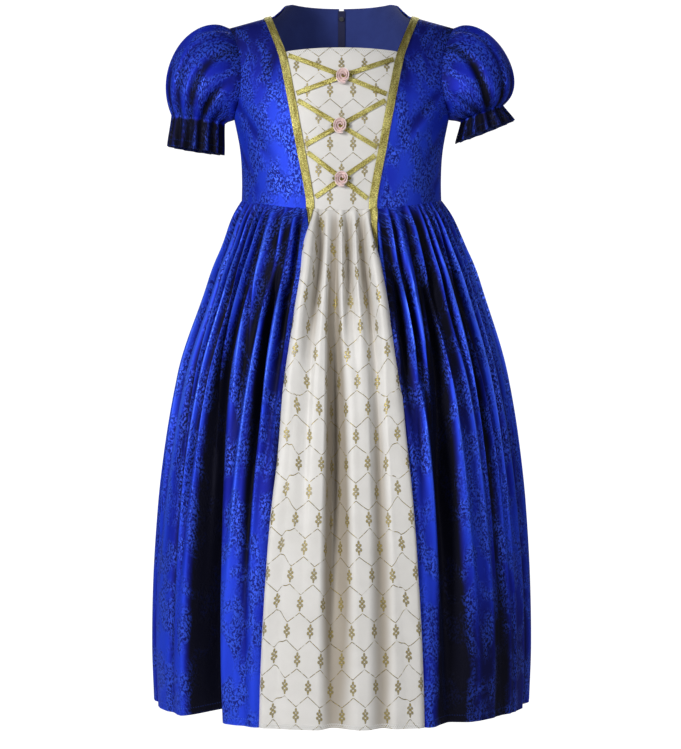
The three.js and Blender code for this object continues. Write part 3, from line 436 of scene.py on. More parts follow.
def make_velvet():
    """Crushed nap: patches pressed in different ways, painted glints on fine specks, painted shade in the
    folds and painted highlights on their crests, and a stitched, rubbed hem.
    """
    material, surface, flat = new_material("crushed_velvet")
    hollow = flat.attribute("hollow")
    patches = flat.stretched(1, 1.7).noise(PATCH_SIZE, 3, 0.4).step(0.38, 0.6)
    specks = flat.stretched(1, 1.4).noise(SPECK_SIZE, 2, 0.6).step(0.42, 0.56)
    sweeps = flat.stretched(1, 2).noise(SWEEP_SIZE, 2).step(0.3, 0.7)
    pressed = patches * (1 - specks)
    # Lighter and mid blue by random sweeps and by the painted shade.
    colour = (sweeps * 0.5 + hollow * 1.4).step(0, 1).colours(VELVET_LIGHT, VELVET_MID)
    colour = (pressed * 0.85).colours(colour, VELVET_DEEP)
    # Painted glints on fine specks.
    colour = (patches * specks * 0.45).colours(colour, VELVET_GLINT)
    # Painted shade: near-black in folds, creases and gathers.
    colour = (hollow * 1.1 - specks * patches * 0.25).step(0.15, 0.95).colours(colour, VELVET_PAINTED_SHADE)
    # Painted highlight on the crests, where the painted shade is below 0.
    colour = ((hollow * -1).step(0.05, 0.7) * 0.6).colours(colour, VELVET_GLINT)
    across = flat.apart()[0]
    hem = flat.attribute("hem")
    stitch = (hem - HEM_STITCH_AT).absolute().step(0.7, 0.3) * across.wave(STITCH_LENGTH).step(-0.3, 0.2)
    rubbed = (hem - 1).absolute().step(0.8, 0.3) * patches.step(0, 0.5)
    edges = stitch.greater(rubbed * 0.5) * (0.7 - hollow.step(0, 0.8) * 0.6)
    colour = edges.colours(colour, VELVET_GLINT)
    finish_surface(
        surface,
        {"Metallic": 0.4, "Specular IOR Level": 0.25, "Sheen Weight": 0.08, "Sheen Roughness": 0.4,
         "Sheen Tint": VELVET_GLINT},
        {"Base Color": colour, "Roughness": 0.6 - specks * patches * 0.15 + hollow * 0.15,
         "Normal": (pressed * -0.5 + patches * 0.3 - stitch * 0.5).bump(NAP_DEPTH)},
    )
    return material


def make_velvet_reverse():
    """The velvet's knitted back: dull, with fine ribs down the cloth."""
    material, surface, flat = new_material("velvet_reverse")
    ribs = flat.apart()[0].ribs(KNIT_RIB)
    cloudy = flat.noise(0.02, 3)
    colour = (ribs * 0.4 + cloudy * 0.6).colours(REVERSE_DARK, REVERSE_LIGHT)
    finish_surface(
        surface, {"Sheen Weight": 0.15, "Specular IOR Level": 0.2},
        {"Base Color": colour, "Roughness": 0.85 - ribs * 0.1, "Normal": ribs.bump(0.0001)},
    )
    return material


velvet = (VELVET_THICKNESS, [make_velvet(), make_velvet_reverse()], "velvet")
BODICE_STEPS = (math.radians(0.4), 0.8)


def on_bodice(angle, height):
    """Points of the bodice and the directions out of it."""
    return bodice(angle, height), facing(bodice, angle, height, BODICE_STEPS, 1)


def crease(across, down, start, end, reach):
    """A soft trough, 1 at its deepest, along a line between two places and faded at its ends."""
    run = (end[0] - start[0], end[1] - start[1])
    share = ((across - start[0]) * run[0] + (down - start[1]) * run[1]) / (run[0] ** 2 + run[1] ** 2)
    share = np.clip(share, 0, 1)
    away = np.hypot(across - start[0] - run[0] * share, down - start[1] - run[1] * share) / reach
    return trough(away, 1) * np.sin(np.pi * mix(0.12, 0.88, share))


def bodice_wall(name, angle, height, side, cloth, lift=0, keep=0, relief=0, centre=0, hollow=None):
    """Cloth on the bodice's form, with its outer face at a lift above it. keep holds it on one
    side of the shoulder seam: -1 in front and 1 behind. centre is its flat middle's share."""
    points, normal = on_bodice(angle, height)
    mirror = np.array([side, 1, 1])
    flat = flat_places(points, centre)
    points = drawn_in(points)
    relief = np.broadcast_to(relief, angle.shape)
    if side < 0:
        points, normal, flat = points[:, ::-1], normal[:, ::-1], flat[:, ::-1] * [-1, 1]
        relief = relief[:, ::-1]
        hollow = hollow if hollow is None else hollow[:, ::-1]
    faces = []
    for level in (lift, lift - cloth[0]):
        face = points + normal * (relief + level)[..., None]
        if keep:
            face[..., 1] = keep * np.maximum(face[..., 1] * keep, SEAM_GAP / 2)
        faces.append(face * mirror)
    return wall_between(name, *faces, flat, cloth, hollow=hollow, hem=-flat[..., 1])


front_waist_angle = angle_at(princess_x(WAIST - WAIST_DIP), WAIST - WAIST_DIP)


def side_front(across, down):
    def top(share):
        x = mix(front_edge_x(0), ARMHOLE_X + ARMHOLE_TIP_X, share)
        return angle_at(x, shoulder_line(x)), shoulder_line(x)

    def bottom(share):
        angle = mix(front_waist_angle, np.pi / 2, share)
        return angle, waist_height(angle)

    def inner(share):
        height = mix(shoulder_line(front_edge_x(0)), waist_height(front_waist_angle), share)
        return angle_at(front_edge_x(height), height), height

    return patch(across, down, top, bottom, inner, side_edge)


def back(across, down):
    def top(share):
        x = np.where(
            share < NECK_SHARE,
            mix(ZIP_OPENING_HALF, NECK_CORNER_X, share / NECK_SHARE),
            mix(NECK_CORNER_X, ARMHOLE_X + ARMHOLE_TIP_X, (share - NECK_SHARE) / (1 - NECK_SHARE)),
        )
        fall = np.clip((x - NAPE_FLAT_HALF) / (NECK_CORNER_X - NAPE_FLAT_HALF), 0, 1) ** 1.5
        at_neck = mix(NAPE_HEIGHT, shoulder_line(np.array(NECK_CORNER_X)), fall)
        height = np.where(share < NECK_SHARE, at_neck, shoulder_line(x))
        return np.pi - angle_at(x, height), height

    def bottom(share):
        inner_angle = np.pi - angle_at(ZIP_OPENING_HALF, WAIST)
        return mix(inner_angle, np.pi / 2, share), WAIST + 0 * np.asarray(share)

    def inner(share):
        height = mix(NAPE_HEIGHT, WAIST, share)
        return np.pi - angle_at(ZIP_OPENING_HALF, height), height

    def outer(share):
        angle, height = side_edge(share)
        return np.pi - angle, height

    return patch(across, down, top, bottom, inner, outer)


BODICE_CREASES = {  # start and end, each an angle in degrees and a height, then reach and depth
    "left": (
        ((62, -84), (34, -150), 13, 1.6),
        ((80, -128), (52, -178), 12, 1.4),
        ((84, -176), (62, -206), 9, 1.2),
        ((30, -48), (36, -88), 10, 0.9),
    ),
    "right": (
        ((74, -92), (44, -168), 13, 1.4),
        ((84, -146), (58, -202), 11, 1.4),
        ((40, -176), (32, -208), 8, 0.9),
        ((34, -40), (42, -82), 10, 1),
    ),
}
CREASE_MM_PER_DEGREE = 1.9
PANELS_CROWD_UP = 1.4


def bodice_creases(word, around, height):
    """How far the drag creases pull the cloth in, and the painted shade in them, near the armhole
    and towards the top, at degrees round from the centre front or back."""
    depth = np.zeros(around.shape)
    for start, end, reach, deep in BODICE_CREASES[word]:
        first = (start[0] * CREASE_MM_PER_DEGREE, start[1])
        second = (end[0] * CREASE_MM_PER_DEGREE, end[1])
        depth += deep * crease(around * CREASE_MM_PER_DEGREE, height, first, second, reach)
    # Painted shade near the armhole and, darker, towards the top of the bodice.
    painted_armhole_shade = 0.3 * ease((around - 56) / 22) * ease((height + 120) / 50)
    painted_top_shade = 0.14 + 0.44 * ease((height + 125) / 115)
    return -depth, painted_top_shade + depth * 0.22 + painted_armhole_shade


for side, word in ((1, "left"), (-1, "right")):
    for part, panel, columns, rows, keep in (
        ("front", side_front, 72, 120, -1), ("back", back, 80, 96, 1),
    ):
        across, down = shares(columns, rows)
        angle, height = panel(across, down**PANELS_CROWD_UP)
        around = np.degrees(angle if part == "front" else np.pi - angle)
        relief, hollow = bodice_creases(word, around, height)
        piece = bodice_wall(
            f"velvet_{part}_{word}", angle, height, side, velvet, keep=keep, relief=relief, hollow=hollow
        )
        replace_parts(piece, f"bodice_{part}_{word}")

# Stomacher: ivory satin brocade between the princess seams, its top edge turned and curved.
# The brocade is a small honeycomb in gold thread, with a small sprig on each upright side.
SATIN_THICKNESS = 1.2
STOMACHER_COLUMNS, STOMACHER_ROWS = 96, 120
REPEAT_WIDTH = 0.026  # metres, like all sizes of a weave or motif
ROW_PITCH = 0.0305
ZIGZAG_HEIGHT = 0.011
SPRIG_LEAVES = (  # way from the sprig's middle, height in the repeat, half width, half height
    (0, 0.0158, 0.0013, 0.0024),
    (0.0019, 0.0128, 0.0015, 0.0017),
    (0, 0.0104, 0.0018, 0.0018),
    (0.0022, 0.0078, 0.0015, 0.002),
    (0, 0.0055, 0.0015, 0.0019),
    (0, 0.0030, 0.001, 0.0014),
)
SATIN_THREAD = 0.0006
SATIN_BACK_THREAD = 0.0007
IVORY_LIGHT = srgb(235, 233, 230)
IVORY_SHADE = srgb(209, 206, 201)
IVORY_STITCH = srgb(250, 250, 248)
DIAMOND_LENGTH = 0.005
DIAMOND_HALF_HEIGHT = 1.7
DIAMONDS_AT = 3
IVORY_PAINTED_SHADE = srgb(146, 133, 114)
GOLD_THREAD = srgb(170, 150, 60)
GOLD_THREAD_DARK = srgb(92, 82, 48)
IVORY_REVERSE = srgb(198, 190, 176)


def make_brocade():
    """Ivory satin with the honeycomb's broken gold lines and sprigs, painted shade in its folds, and a
    stitched hem.
    """
    material, surface, flat = new_material("ivory_brocade")
    across, down = flat.apart()
    row = (down / ROW_PITCH).math("FLOOR", down / ROW_PITCH)
    column = across / REPEAT_WIDTH + row.math("PINGPONG", row, 1.0) * 0.5
    sideways = (column.math("FRACT", column) - 0.5).absolute() * REPEAT_WIDTH
    upright = (down / ROW_PITCH - row) * ROW_PITCH
    slope = 2 * ZIGZAG_HEIGHT / REPEAT_WIDTH
    zigzag = (upright - (ROW_PITCH - ZIGZAG_HEIGHT) - sideways * slope).absolute()
    line = (zigzag * 0.76).step(0.0005, 0.0002)
    sprig = None
    for centre_across, centre_up, half_width, half_height in SPRIG_LEAVES:
        x = (sideways - centre_across) / half_width
        y = (upright - centre_up) / half_height
        leaf = (x * x + y * y).step(1.15, 0.7)
        sprig = leaf if sprig is None else sprig.greater(leaf)
    glitter = flat.noise(0.0013, 2).step(0.42, 0.58)
    broken = flat.noise(0.006, 2).step(0.36, 0.5)
    thread = (line * (broken * 0.8 + 0.2)).greater(sprig * (glitter * 0.35 + 0.65))
    threads = across.ribs(SATIN_THREAD)
    hollow = flat.attribute("hollow")
    cloudy = flat.noise(0.03, 3)
    ivory = (cloudy * 0.8 + threads * 0.2).colours(IVORY_SHADE, IVORY_LIGHT)
    # Painted shade in the folds, and towards the bottom of the skirt panel.
    ivory = (hollow.step(0.3, 1) * 0.8).colours(ivory, IVORY_PAINTED_SHADE)
    colour = thread.colours(ivory, glitter.colours(GOLD_THREAD_DARK, GOLD_THREAD))
    hem = flat.attribute("hem")
    swing = across.wave(DIAMOND_LENGTH) * DIAMOND_HALF_HEIGHT
    above = (hem - DIAMONDS_AT - swing).absolute()
    diamonds = above.lesser((hem - DIAMONDS_AT + swing).absolute()).step(0.55, 0.2)
    colour = (diamonds * 0.9).colours(colour, IVORY_STITCH)
    finish_surface(
        surface, {"Sheen Weight": 0.2, "Sheen Roughness": 0.3},
        {"Base Color": colour, "Roughness": 0.42 - thread * 0.1 + threads * 0.06,
         "Metallic": thread * 0.5, "Normal": (thread * 0.8 + threads * 0.1 + diamonds).bump(0.0003)},
    )
    return material


def make_satin_reverse():
    """The brocade's back: plain and dull, with the gold threads' faint floats."""
    material, surface, flat = new_material("brocade_reverse")
    threads = flat.apart()[0].ribs(SATIN_BACK_THREAD)
    colour = (threads * 0.5 + flat.noise(0.012, 3) * 0.5).colours(IVORY_REVERSE, IVORY_SHADE)
    finish_surface(
        surface, {"Specular IOR Level": 0.3},
        {"Base Color": colour, "Roughness": 0.75 - threads * 0.1, "Normal": threads.bump(0.0001)},
    )
    return material


brocade = (SATIN_THICKNESS, [make_brocade(), make_satin_reverse()], "brocade_satin")
across, down = shares(STOMACHER_COLUMNS, STOMACHER_ROWS)
share = 2 * across - 1
seam_height = mix(STOMACHER_CORNER, waist_height(front_waist_angle), down)
angle = share * angle_at(front_edge_x(seam_height), seam_height)
height = mix(mix(STOMACHER_TOP, STOMACHER_CORNER, share * share), waist_height(angle), down)
piece = bodice_wall("brocade_stomacher", angle, height, 1, brocade, centre=0.5)
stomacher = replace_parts(piece, "bodice_front_centre")

# Puff sleeves: one velvet piece each, gathered a little into the armhole and drawn in by an
# elastic in a sewn casing, with the frill of its own hem below. The two hang a little unevenly.
SLEEVES = {  # a crease has a start and end, each a turn and a way down, then reach and depth
    "left": {
        "side": 1, "cuff_x": 163.5, "cuff_height": -111, "out_x": 23.5, "out_height": 9, "half_depth": 33,
        "rise": 8, "swell": 45, "frill_x": 3.7, "frill_height": -21, "frill_half_width": 34.5,
        "frill_half_depth": 36,
        "creases": (
            ((1.05, 0.1), (1.5, 0.95), 0.16, 5), ((0.5, 0.2), (0.95, 0.95), 0.12, 2.4),
            ((2.0, 0.3), (1.9, 0.9), 0.14, 2.6), ((-1.4, 0.15), (-1.7, 0.85), 0.18, 4),
        ),
    },
    "right": {
        "side": -1, "cuff_x": 167, "cuff_height": -118, "out_x": 30, "out_height": 4.5, "half_depth": 31,
        "rise": 53, "swell": 33, "frill_x": 2.8, "frill_height": -36, "frill_half_width": 31,
        "frill_half_depth": 33,
        "creases": (
            ((1.15, 0.08), (1.3, 0.8), 0.15, 3.6), ((1.75, 0.25), (1.8, 0.92), 0.16, 3.2),
            ((0.7, 0.12), (0.8, 0.7), 0.12, 2), ((-1.5, 0.15), (-1.5, 0.85), 0.18, 3.8),
        ),
    },
}
CUFF_GATHERS = 14
CUFF_GATHER_HEIGHT = 1.6
HEAD_GATHER_HEIGHT = 1.3
FRILL_WAVE = 3.4
PUFF_UNDER, PUFF_OVER = 2, 20  # how far the cloth stands off the armhole, and off the elastic
STANDS_OUT_UNDER, STANDS_OUT_OVER = 3, 42
CUFF_RISES = 2
ELASTIC_AT = 0.75  # share of the rows
SLEEVE_COLUMNS = 280
SLEEVE_ROWS = 100
HEAD_INSIDE = 0.4
HEAD_OUT = -0.6


def sleeve_creases(sleeve, turn, down):
    depth = np.zeros(turn.shape)
    for start, end, reach, deep in sleeve["creases"]:
        depth += deep * crease(turn, down, start, end, reach)
    return depth


def sleeve_surface(sleeve):
    """Points of a sleeve: turn round it from its top, down 1 at the elastic and 2 at the frill."""
    outwards = np.array([sleeve["out_x"], 0, sleeve["out_height"]], float)
    half_width = np.linalg.norm(outwards)
    outwards /= half_width
    upwards = np.array([-outwards[2], 0, outwards[0]])

    def ring(centre_x, centre_height, wide, deep, turn):
        middle = np.array([centre_x, 0, centre_height])
        sideways = outwards * (wide * np.cos(turn))[..., None]
        return middle + sideways + np.array([0, -deep, 0]) * np.sin(turn)[..., None]

    def surface(turn, down):
        turn, down = np.broadcast_arrays(np.asarray(turn, float), np.asarray(down, float))
        angle, height = armhole(np.abs(turn))
        seam = bodice(np.where(turn < 0, np.pi - angle, angle), height)
        cosine, sine = np.cos(turn)[..., None], np.sin(turn)[..., None]
        from_armhole = np.array([0, 0, 1]) * cosine + np.array([0, -1, 0]) * sine
        seam = seam - from_armhole * HEAD_INSIDE + np.array([HEAD_OUT, 0, 0])
        from_cuff = outwards * cosine + np.array([0, -1, 0]) * sine
        wave = -np.cos(CUFF_GATHERS * turn)[..., None]
        elastic = ring(sleeve["cuff_x"], sleeve["cuff_height"], half_width, sleeve["half_depth"], turn)
        edge = ring(
            sleeve["cuff_x"] + sleeve["frill_x"], sleeve["cuff_height"] + sleeve["frill_height"],
            sleeve["frill_half_width"], sleeve["frill_half_depth"], turn,
        )
        past = np.clip(down - 1, 0, None)[..., None]
        frill = elastic + (edge - elastic) * past
        frill = frill + from_cuff * wave * mix(CUFF_GATHER_HEIGHT, FRILL_WAVE, ease(past))
        over = (1 + cosine) / 2
        swelling = 1 - (1 - over) ** 2
        stands_out = np.array([1, 0, 0]) * (STANDS_OUT_UNDER + STANDS_OUT_OVER * over)
        first = seam + from_armhole * (PUFF_UNDER + PUFF_OVER * swelling) + stands_out
        second = elastic + upwards * (CUFF_RISES + sleeve["rise"] * over)
        second = second + from_cuff * (1 + sleeve["swell"] * swelling)
        t = np.clip(down, 0, 1)[..., None]
        puff = seam * (1 - t) ** 3 + first * 3 * t * (1 - t) ** 2
        puff = puff + second * 3 * t**2 * (1 - t) + elastic * t**3
        cuff_pull = ease((t - 0.45) / 0.55) * CUFF_GATHER_HEIGHT
        head_pull = ease(t / 0.1) * ease((0.5 - t) / 0.4) * ease((cosine + 0.1) / 0.5)
        outside = from_cuff * t + from_armhole * (1 - t)
        outside /= np.linalg.norm(outside, axis=-1, keepdims=True)
        puff = puff + outside * wave * (cuff_pull + head_pull * HEAD_GATHER_HEIGHT)
        puff = puff - outside * sleeve_creases(sleeve, turn, down)[..., None]
        return np.where(down[..., None] > 1, frill, puff)

    return surface


for word, sleeve in SLEEVES.items():
    surface = sleeve_surface(sleeve)
    turn_share, row_share = shares(SLEEVE_COLUMNS, SLEEVE_ROWS)
    turn = 2 * np.pi * turn_share - np.pi + 1e-6
    past = (row_share - ELASTIC_AT) / (1 - ELASTIC_AT)
    down = np.where(row_share < ELASTIC_AT, row_share / ELASTIC_AT, 1 + past)
    points = surface(turn, down)
    normal = facing(surface, turn, down, (np.pi / SLEEVE_COLUMNS, 0.01), 1)
    # Painted shade: a little all over, in the gathers' troughs and the creases, near the armhole and on
    # the frill.
    gathered = (1 + np.cos(CUFF_GATHERS * turn)) / 2 * ease((down - 0.35) / 0.5)
    in_shade = 0.35 * ease((0.35 - down) / 0.35) + 0.5 * ease((down - 1) / 0.15)
    hollow = np.clip(0.2 + gathered * 0.5 + sleeve_creases(sleeve, turn, down) / 7 + in_shade, 0, 1)
    flat = flat_places(points, 0.5)
    flat[..., 0] = (turn_share - 0.5) * 2 * flat[..., 0].max()
    if sleeve["side"] < 0:
        points, normal, flat, hollow = points[:, ::-1], normal[:, ::-1], flat[:, ::-1], hollow[:, ::-1]
    mirror = np.array([sleeve["side"], 1, 1])
    piece = cloth_wall(
        f"velvet_sleeve_{word}", points * mirror, normal * mirror, (0, -VELVET_THICKNESS), flat, velvet,
        ring=True, hollow=hollow, hem=flat[..., 1] - flat[-1:, :, 1],
    )
    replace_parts(piece, f"sleeve_{word}")

# Skirt side fronts and backs: long velvet panels, each gathered into the waist seam, that fall
# in deep folds to a turned hem. The hem is left free and dips where a fold hangs forward.
SKIRT_LENGTH = 582
LIP_RISE = 4
LEAN_GROWS_OVER = 75
SEAM_TURNED_UP = 2.5
SEAM_TURNED_IN = 2.2
SKIRT_SHAPE = {  # drop: half width, depth in front, depth behind
    0: (117, 92.5, 78.5),
    31: (134, 106, 97),
    74: (154, 121, 116),
    116: (167, 134, 131),
    186: (185, 152, 151),
    246: (198, 165, 164),
    306: (208, 175, 175),
    356: (214, 182, 182),
    436: (220, 189, 189),
    516: (222, 192, 192),
    582: (220, 193, 193),
}
SKIRT_SEAM = {0: 17.7, 65: 16, 131: 17.9, 245: 19.8, 370: 21.2, 437: 22.3, 582: 24.8}
GATHER_HEIGHT = {0: 0.7, 16: 2.8, 55: 4.6, 125: 5, 215: 3.8, 330: 1.8, 450: 0.6, 582: 0.4}
GATHER_SHARPNESS = 1.7
FRONT_CENTRE_GATHERS = 5
FRONT_GATHERS = 12
BACK_GATHERS = 15
FOLDS = (  # angle, angle at the hem, right and left reach, depth, begins, deepest, hem share, hem lift
    (-61, -61, 5, 4, 7, 120, 300, 0.5, 0),
    (-45.5, -45.5, 10.5, 10, 46, 90, 480, 1, 7),
    (-29.6, -29.6, 3, 3, 13, 60, 260, 0.1, 0),
    (-17.3, -24.4, 4, 3.5, 13, 10, 300, 0.5, 0),
    (-2.5, -2.5, 4.5, 8, 17, 40, 330, 0.35, 2),
    (12, 12, 5, 4, 8, 60, 300, 0.7, 1),
    (17.3, 24.4, 3.5, 4, 12, 10, 260, 0.5, 0),
    (34, 34, 7, 8, 27, 110, 330, 0.35, 1),
    (55, 55, 6, 6, 8, 90, 240, 0.4, 0),
    (76, 76, 6, 6, 8, 150, 400, 0.9, 0),
    (106, 106, 9, 8, 24, 100, 420, 1, 2),
    (129, 129, 7, 9, 32, 80, 470, 1, 4),
    (152, 152, 8, 7, 20, 110, 360, 0.8, 1),
    (173, 173, 8, 6, 28, 70, 440, 1, 3),
    (-80, -80, 6, 6, 9, 150, 420, 0.9, 0),
    (-104, -104, 8, 9, 30, 90, 450, 1, 3),
    (-126, -126, 8, 7, 19, 120, 380, 0.8, 1),
    (-146, -146, 7, 9, 34, 80, 470, 1, 4),
    (-166, -166, 6, 7, 16, 110, 350, 0.7, 1),
)
CREASES = (  # angle at the waist, angle at the hem, right and left reach, depth, begins, deepest, ends
    (-51.5, -45, 3.4, 3, 5, 20, 120, 560),
    (-42.5, -27, 2, 2, 7, 30, 110, 260),
    (-31.2, -24, 3, 2.6, 10, 20, 110, 400),
    (-24.5, -19, 1.8, 1.8, 6, 10, 70, 150),
    (-56.5, -56, 1.6, 1.6, 5, 200, 300, 470),
    (-63, -66, 1.6, 1.6, 4, 60, 140, 330),
    (-5, -2.2, 1.8, 8.5, 11, 20, 200, 560),
    (-10.5, -12, 3.4, 2, 3, 30, 160, 480),
    (11.5, 10, 1.6, 3, 2, 10, 80, 260),
    (24.2, 19.8, 2.6, 2, 8, 20, 120, 250),
    (30, 22, 1.4, 1.4, 6, 15, 110, 380),
    (34.7, 27, 1.6, 1.6, 6, 20, 110, 260),
    (40, 33, 3, 3.8, 10, 20, 110, 570),
    (47.6, 48, 2.2, 2.2, 6, 20, 100, 220),
    (57, 55, 3, 2.6, 9, 15, 110, 300),
    (65, 60, 1.4, 1.4, 6, 15, 100, 330),
    (74, 68, 1.4, 1.4, 5, 15, 100, 330),
    (98, 97, 2.4, 2, 7, 15, 110, 330),
    (113, 115, 3, 2.4, 9, 20, 120, 420),
    (121, 119, 1.8, 1.8, 6, 15, 100, 260),
    (137, 139, 2.6, 3, 8, 20, 120, 360),
    (145, 146, 1.8, 1.6, 6, 15, 90, 280),
    (163, 161, 2.8, 2.4, 8, 20, 120, 400),
    (-92, -89, 2, 2.2, 6, 15, 100, 300),
    (-97, -96, 2.6, 2.2, 8, 20, 120, 380),
    (-114, -116, 1.8, 1.8, 6, 15, 90, 260),
    (-119, -117, 2.8, 3.2, 9, 20, 130, 440),
    (-135, -136, 2.4, 2, 7, 15, 110, 320),
    (-156, -157, 2.8, 3, 9, 20, 120, 410),
    (-173, -172, 1.8, 1.8, 6, 15, 100, 280),
)
FALLS_IN_LEFT = 6
FALLS_IN_RIGHT = 9
CALM_REACH = math.radians(4)
LOW_SHADE_FROM = 24  # angles between which shade is painted on the cloth near the hem, and how dark
LOW_SHADE_TO = 92
LOW_SHADE_STRENGTH = 0.62
# Painted shade just below the waist, and the fold depth in millimetres that paints full shade.
WAIST_SHADE = 0.3
DARK_FROM_DEPTH = 11
NARROW_AT_WAIST = 0.55
SKIRT_ROUNDS_OUT_BY = 200
SKIRT_STEPS = (math.radians(0.25), 3)
SKIRT_ROWS = 120
FRONT_COLUMNS = 156
BACK_COLUMNS = 190
ROWS_CROWD_UP = 1.15
SEAM_ALLOWANCE = ((0.1, 1.5), (2.5, 2.1), (5, 2.1))  # past the seam and under the next panel


def seam_angle(drop):
    return np.radians(smooth(SKIRT_SEAM, drop))


def uneven_share(share, side):
    """Crowds the gathers in places along a panel, and more so on one side than the other."""
    crowded = 0.022 * np.sin(4 * np.pi * share) + 0.011 * np.sin((12 + side * 2) * np.pi * share)
    return share + crowded


def gather_count(angle, drop):
    around = np.abs(angle)
    side = np.sign(angle)
    seam = seam_angle(drop)
    quarter = np.pi / 2
    return np.where(
        around <= seam, FRONT_CENTRE_GATHERS * (angle + seam) / (2 * seam),
        np.where(
            around <= quarter, FRONT_GATHERS * uneven_share((around - seam) / (quarter - seam), side),
            BACK_GATHERS * uneven_share((around - quarter) / quarter, side),
        ),
    )


def gather_ridge(angle, drop):
    """1 on a gather's ridge and 0 in the hollow beside it."""
    return ((1 - np.cos(2 * np.pi * gather_count(angle, drop))) / 2) ** GATHER_SHARPNESS


def folds_at(angle, drop):
    """How deep the cloth folds in at a place, and how far the hem is lifted there."""
    depth = np.zeros(np.broadcast(angle, drop).shape)
    lift = depth.copy()
    down = drop / SKIRT_LENGTH
    for middle, hem_middle, right, left, deep, begins, deepest, at_hem, hem_lift in FOLDS:
        away = np.degrees(angle) - mix(middle, hem_middle, down)
        away = away - 360 * np.round(away / 360)
        reach = np.where(away < 0, right, left) * mix(NARROW_AT_WAIST, 1, down)
        shape = trough(away, reach)
        grown = ease((drop - begins) / (deepest - begins))
        past = np.clip((drop - deepest) / (SKIRT_LENGTH - deepest), 0, 1)
        depth += deep * shape * grown * mix(1, at_hem, past)
        lift += hem_lift * shape * down**2
    for top, hem, right, left, deep, begins, deepest, ends in CREASES:
        away = np.degrees(angle) - mix(top, hem, down)
        grown = ease((drop - begins) / (deepest - begins)) * ease((ends - drop) / (ends - deepest))
        depth += deep * trough(away, np.where(away < 0, right, left)) * grown
    return depth, lift


def calm(angle, drop):
    """The share of a gather's height that is left: the brocade soon falls smooth."""
    return 1 - 0.8 * ease((seam_angle(drop) - np.abs(angle)) / CALM_REACH) * ease((drop - 60) / 140)


def skirt(angle, drop):
    """Points of the skirt, at an angle from the centre front and a drop below the waist."""
    front = np.cos(angle) >= 0
    half_width = smooth(SKIRT_SHAPE, drop, 0)
    depth = np.where(front, smooth(SKIRT_SHAPE, drop, 1), smooth(SKIRT_SHAPE, drop, 2))
    rounding = ease(drop / SKIRT_ROUNDS_OUT_BY)
    y = depth * roundness(angle, mix(BODY_SQUARENESS, 2, rounding), mix(BODY_FLATNESS, 2, rounding))
    x = half_width * np.sin(angle)
    y = np.where(front, -y, y)
    out = np.stack([x / half_width**2, y / depth**2], axis=-1)
    out /= np.linalg.norm(out, axis=-1, keepdims=True)
    uneven = 1 + 0.3 * np.sin(angle * 13) + 0.25 * np.sin(angle * 29 + 1)
    wave = (2 * gather_ridge(angle, drop) - 1) * smooth(GATHER_HEIGHT, drop) * uneven
    wave = wave * calm(angle, drop)
    fold, lift = folds_at(angle, drop)
    z = mix(waist_height(angle), WAIST - SKIRT_LENGTH, drop / SKIRT_LENGTH) + lift
    falls_in = np.sin(angle) ** 2 * ease(drop / 60) * ease((200 - drop) / 110)
    falls_in = falls_in * np.where(angle < 0, FALLS_IN_RIGHT, FALLS_IN_LEFT)
    moved = wave - fold - falls_in - SEAM_TURNED_IN * ease(-drop / SEAM_TURNED_UP)
    return np.stack([x + out[..., 0] * moved, y + out[..., 1] * moved, z], axis=-1)


def lean_over(points, normal, drop, edge, reach, lean, begins):
    """Leans the cloth beside a seam over it, so that the seam turns into the fold."""
    ordered = points[:, ::edge]
    distance = arc_lengths(ordered)
    way = np.gradient(ordered, axis=1)
    way /= -np.linalg.norm(way, axis=-1, keepdims=True)
    over = np.where(distance < reach, np.sin(np.pi * distance / reach) ** 2, 0)
    over = over * ease((drop - begins) / LEAN_GROWS_OVER)
    leaned = (ordered + way * (over * lean)[..., None])[:, ::edge]
    return leaned + normal * (over[:, ::edge] * LIP_RISE)[..., None]


def outward(points):
    """Outward directions of a grid of points that runs to the wearer's left and down."""
    normal = np.cross(np.gradient(points, axis=0), np.gradient(points, axis=1))
    return normal / np.linalg.norm(normal, axis=-1, keepdims=True)


def skirt_grid(start, end, columns, leans=()):
    """A skirt panel's points, outward directions and painted shade, from one seam to the next. The
    shade is 1 deep in a fold, and below 0 it paints a highlight on a gather's crest."""
    across, down = shares(columns, SKIRT_ROWS)
    drop = mix(-SEAM_TURNED_UP, SKIRT_LENGTH, down**ROWS_CROWD_UP)
    angle = mix(start(drop), end(drop), across)
    points, normal = skirt(angle, drop), facing(skirt, angle, drop, SKIRT_STEPS, -1)
    for lean in leans:
        points = lean_over(points, normal, drop, *lean)
    if leans:
        normal = outward(points)
    depth = folds_at(angle, drop)[0]
    gather_depth = smooth(GATHER_HEIGHT, drop) / 5 * calm(angle, drop)
    # Painted shade in the gathers' troughs, and a painted highlight on their crests.
    gathered = (1 - gather_ridge(angle, drop)) * gather_depth
    crest = gather_ridge(angle, drop) ** 5 * gather_depth * ease(1 - depth / 4)
    # Painted shade low on the wearer's left front, near the hem.
    painted_low_shade = ease((np.degrees(angle) - LOW_SHADE_FROM) / 8) * ease((LOW_SHADE_TO - np.degrees(angle)) / 34)
    painted_low_shade = LOW_SHADE_STRENGTH * painted_low_shade * ease((drop - 370) / 150)
    # Painted shade just below the waist.
    painted_waist_shade = WAIST_SHADE * ease((70 - drop) / 60)
    # Painted shade in the folds, darkest at DARK_FROM_DEPTH millimetres deep.
    hollow = np.clip(gathered * 0.9 + depth / DARK_FROM_DEPTH + painted_low_shade + painted_waist_shade, 0, 1) - crest
    return points, normal, hollow


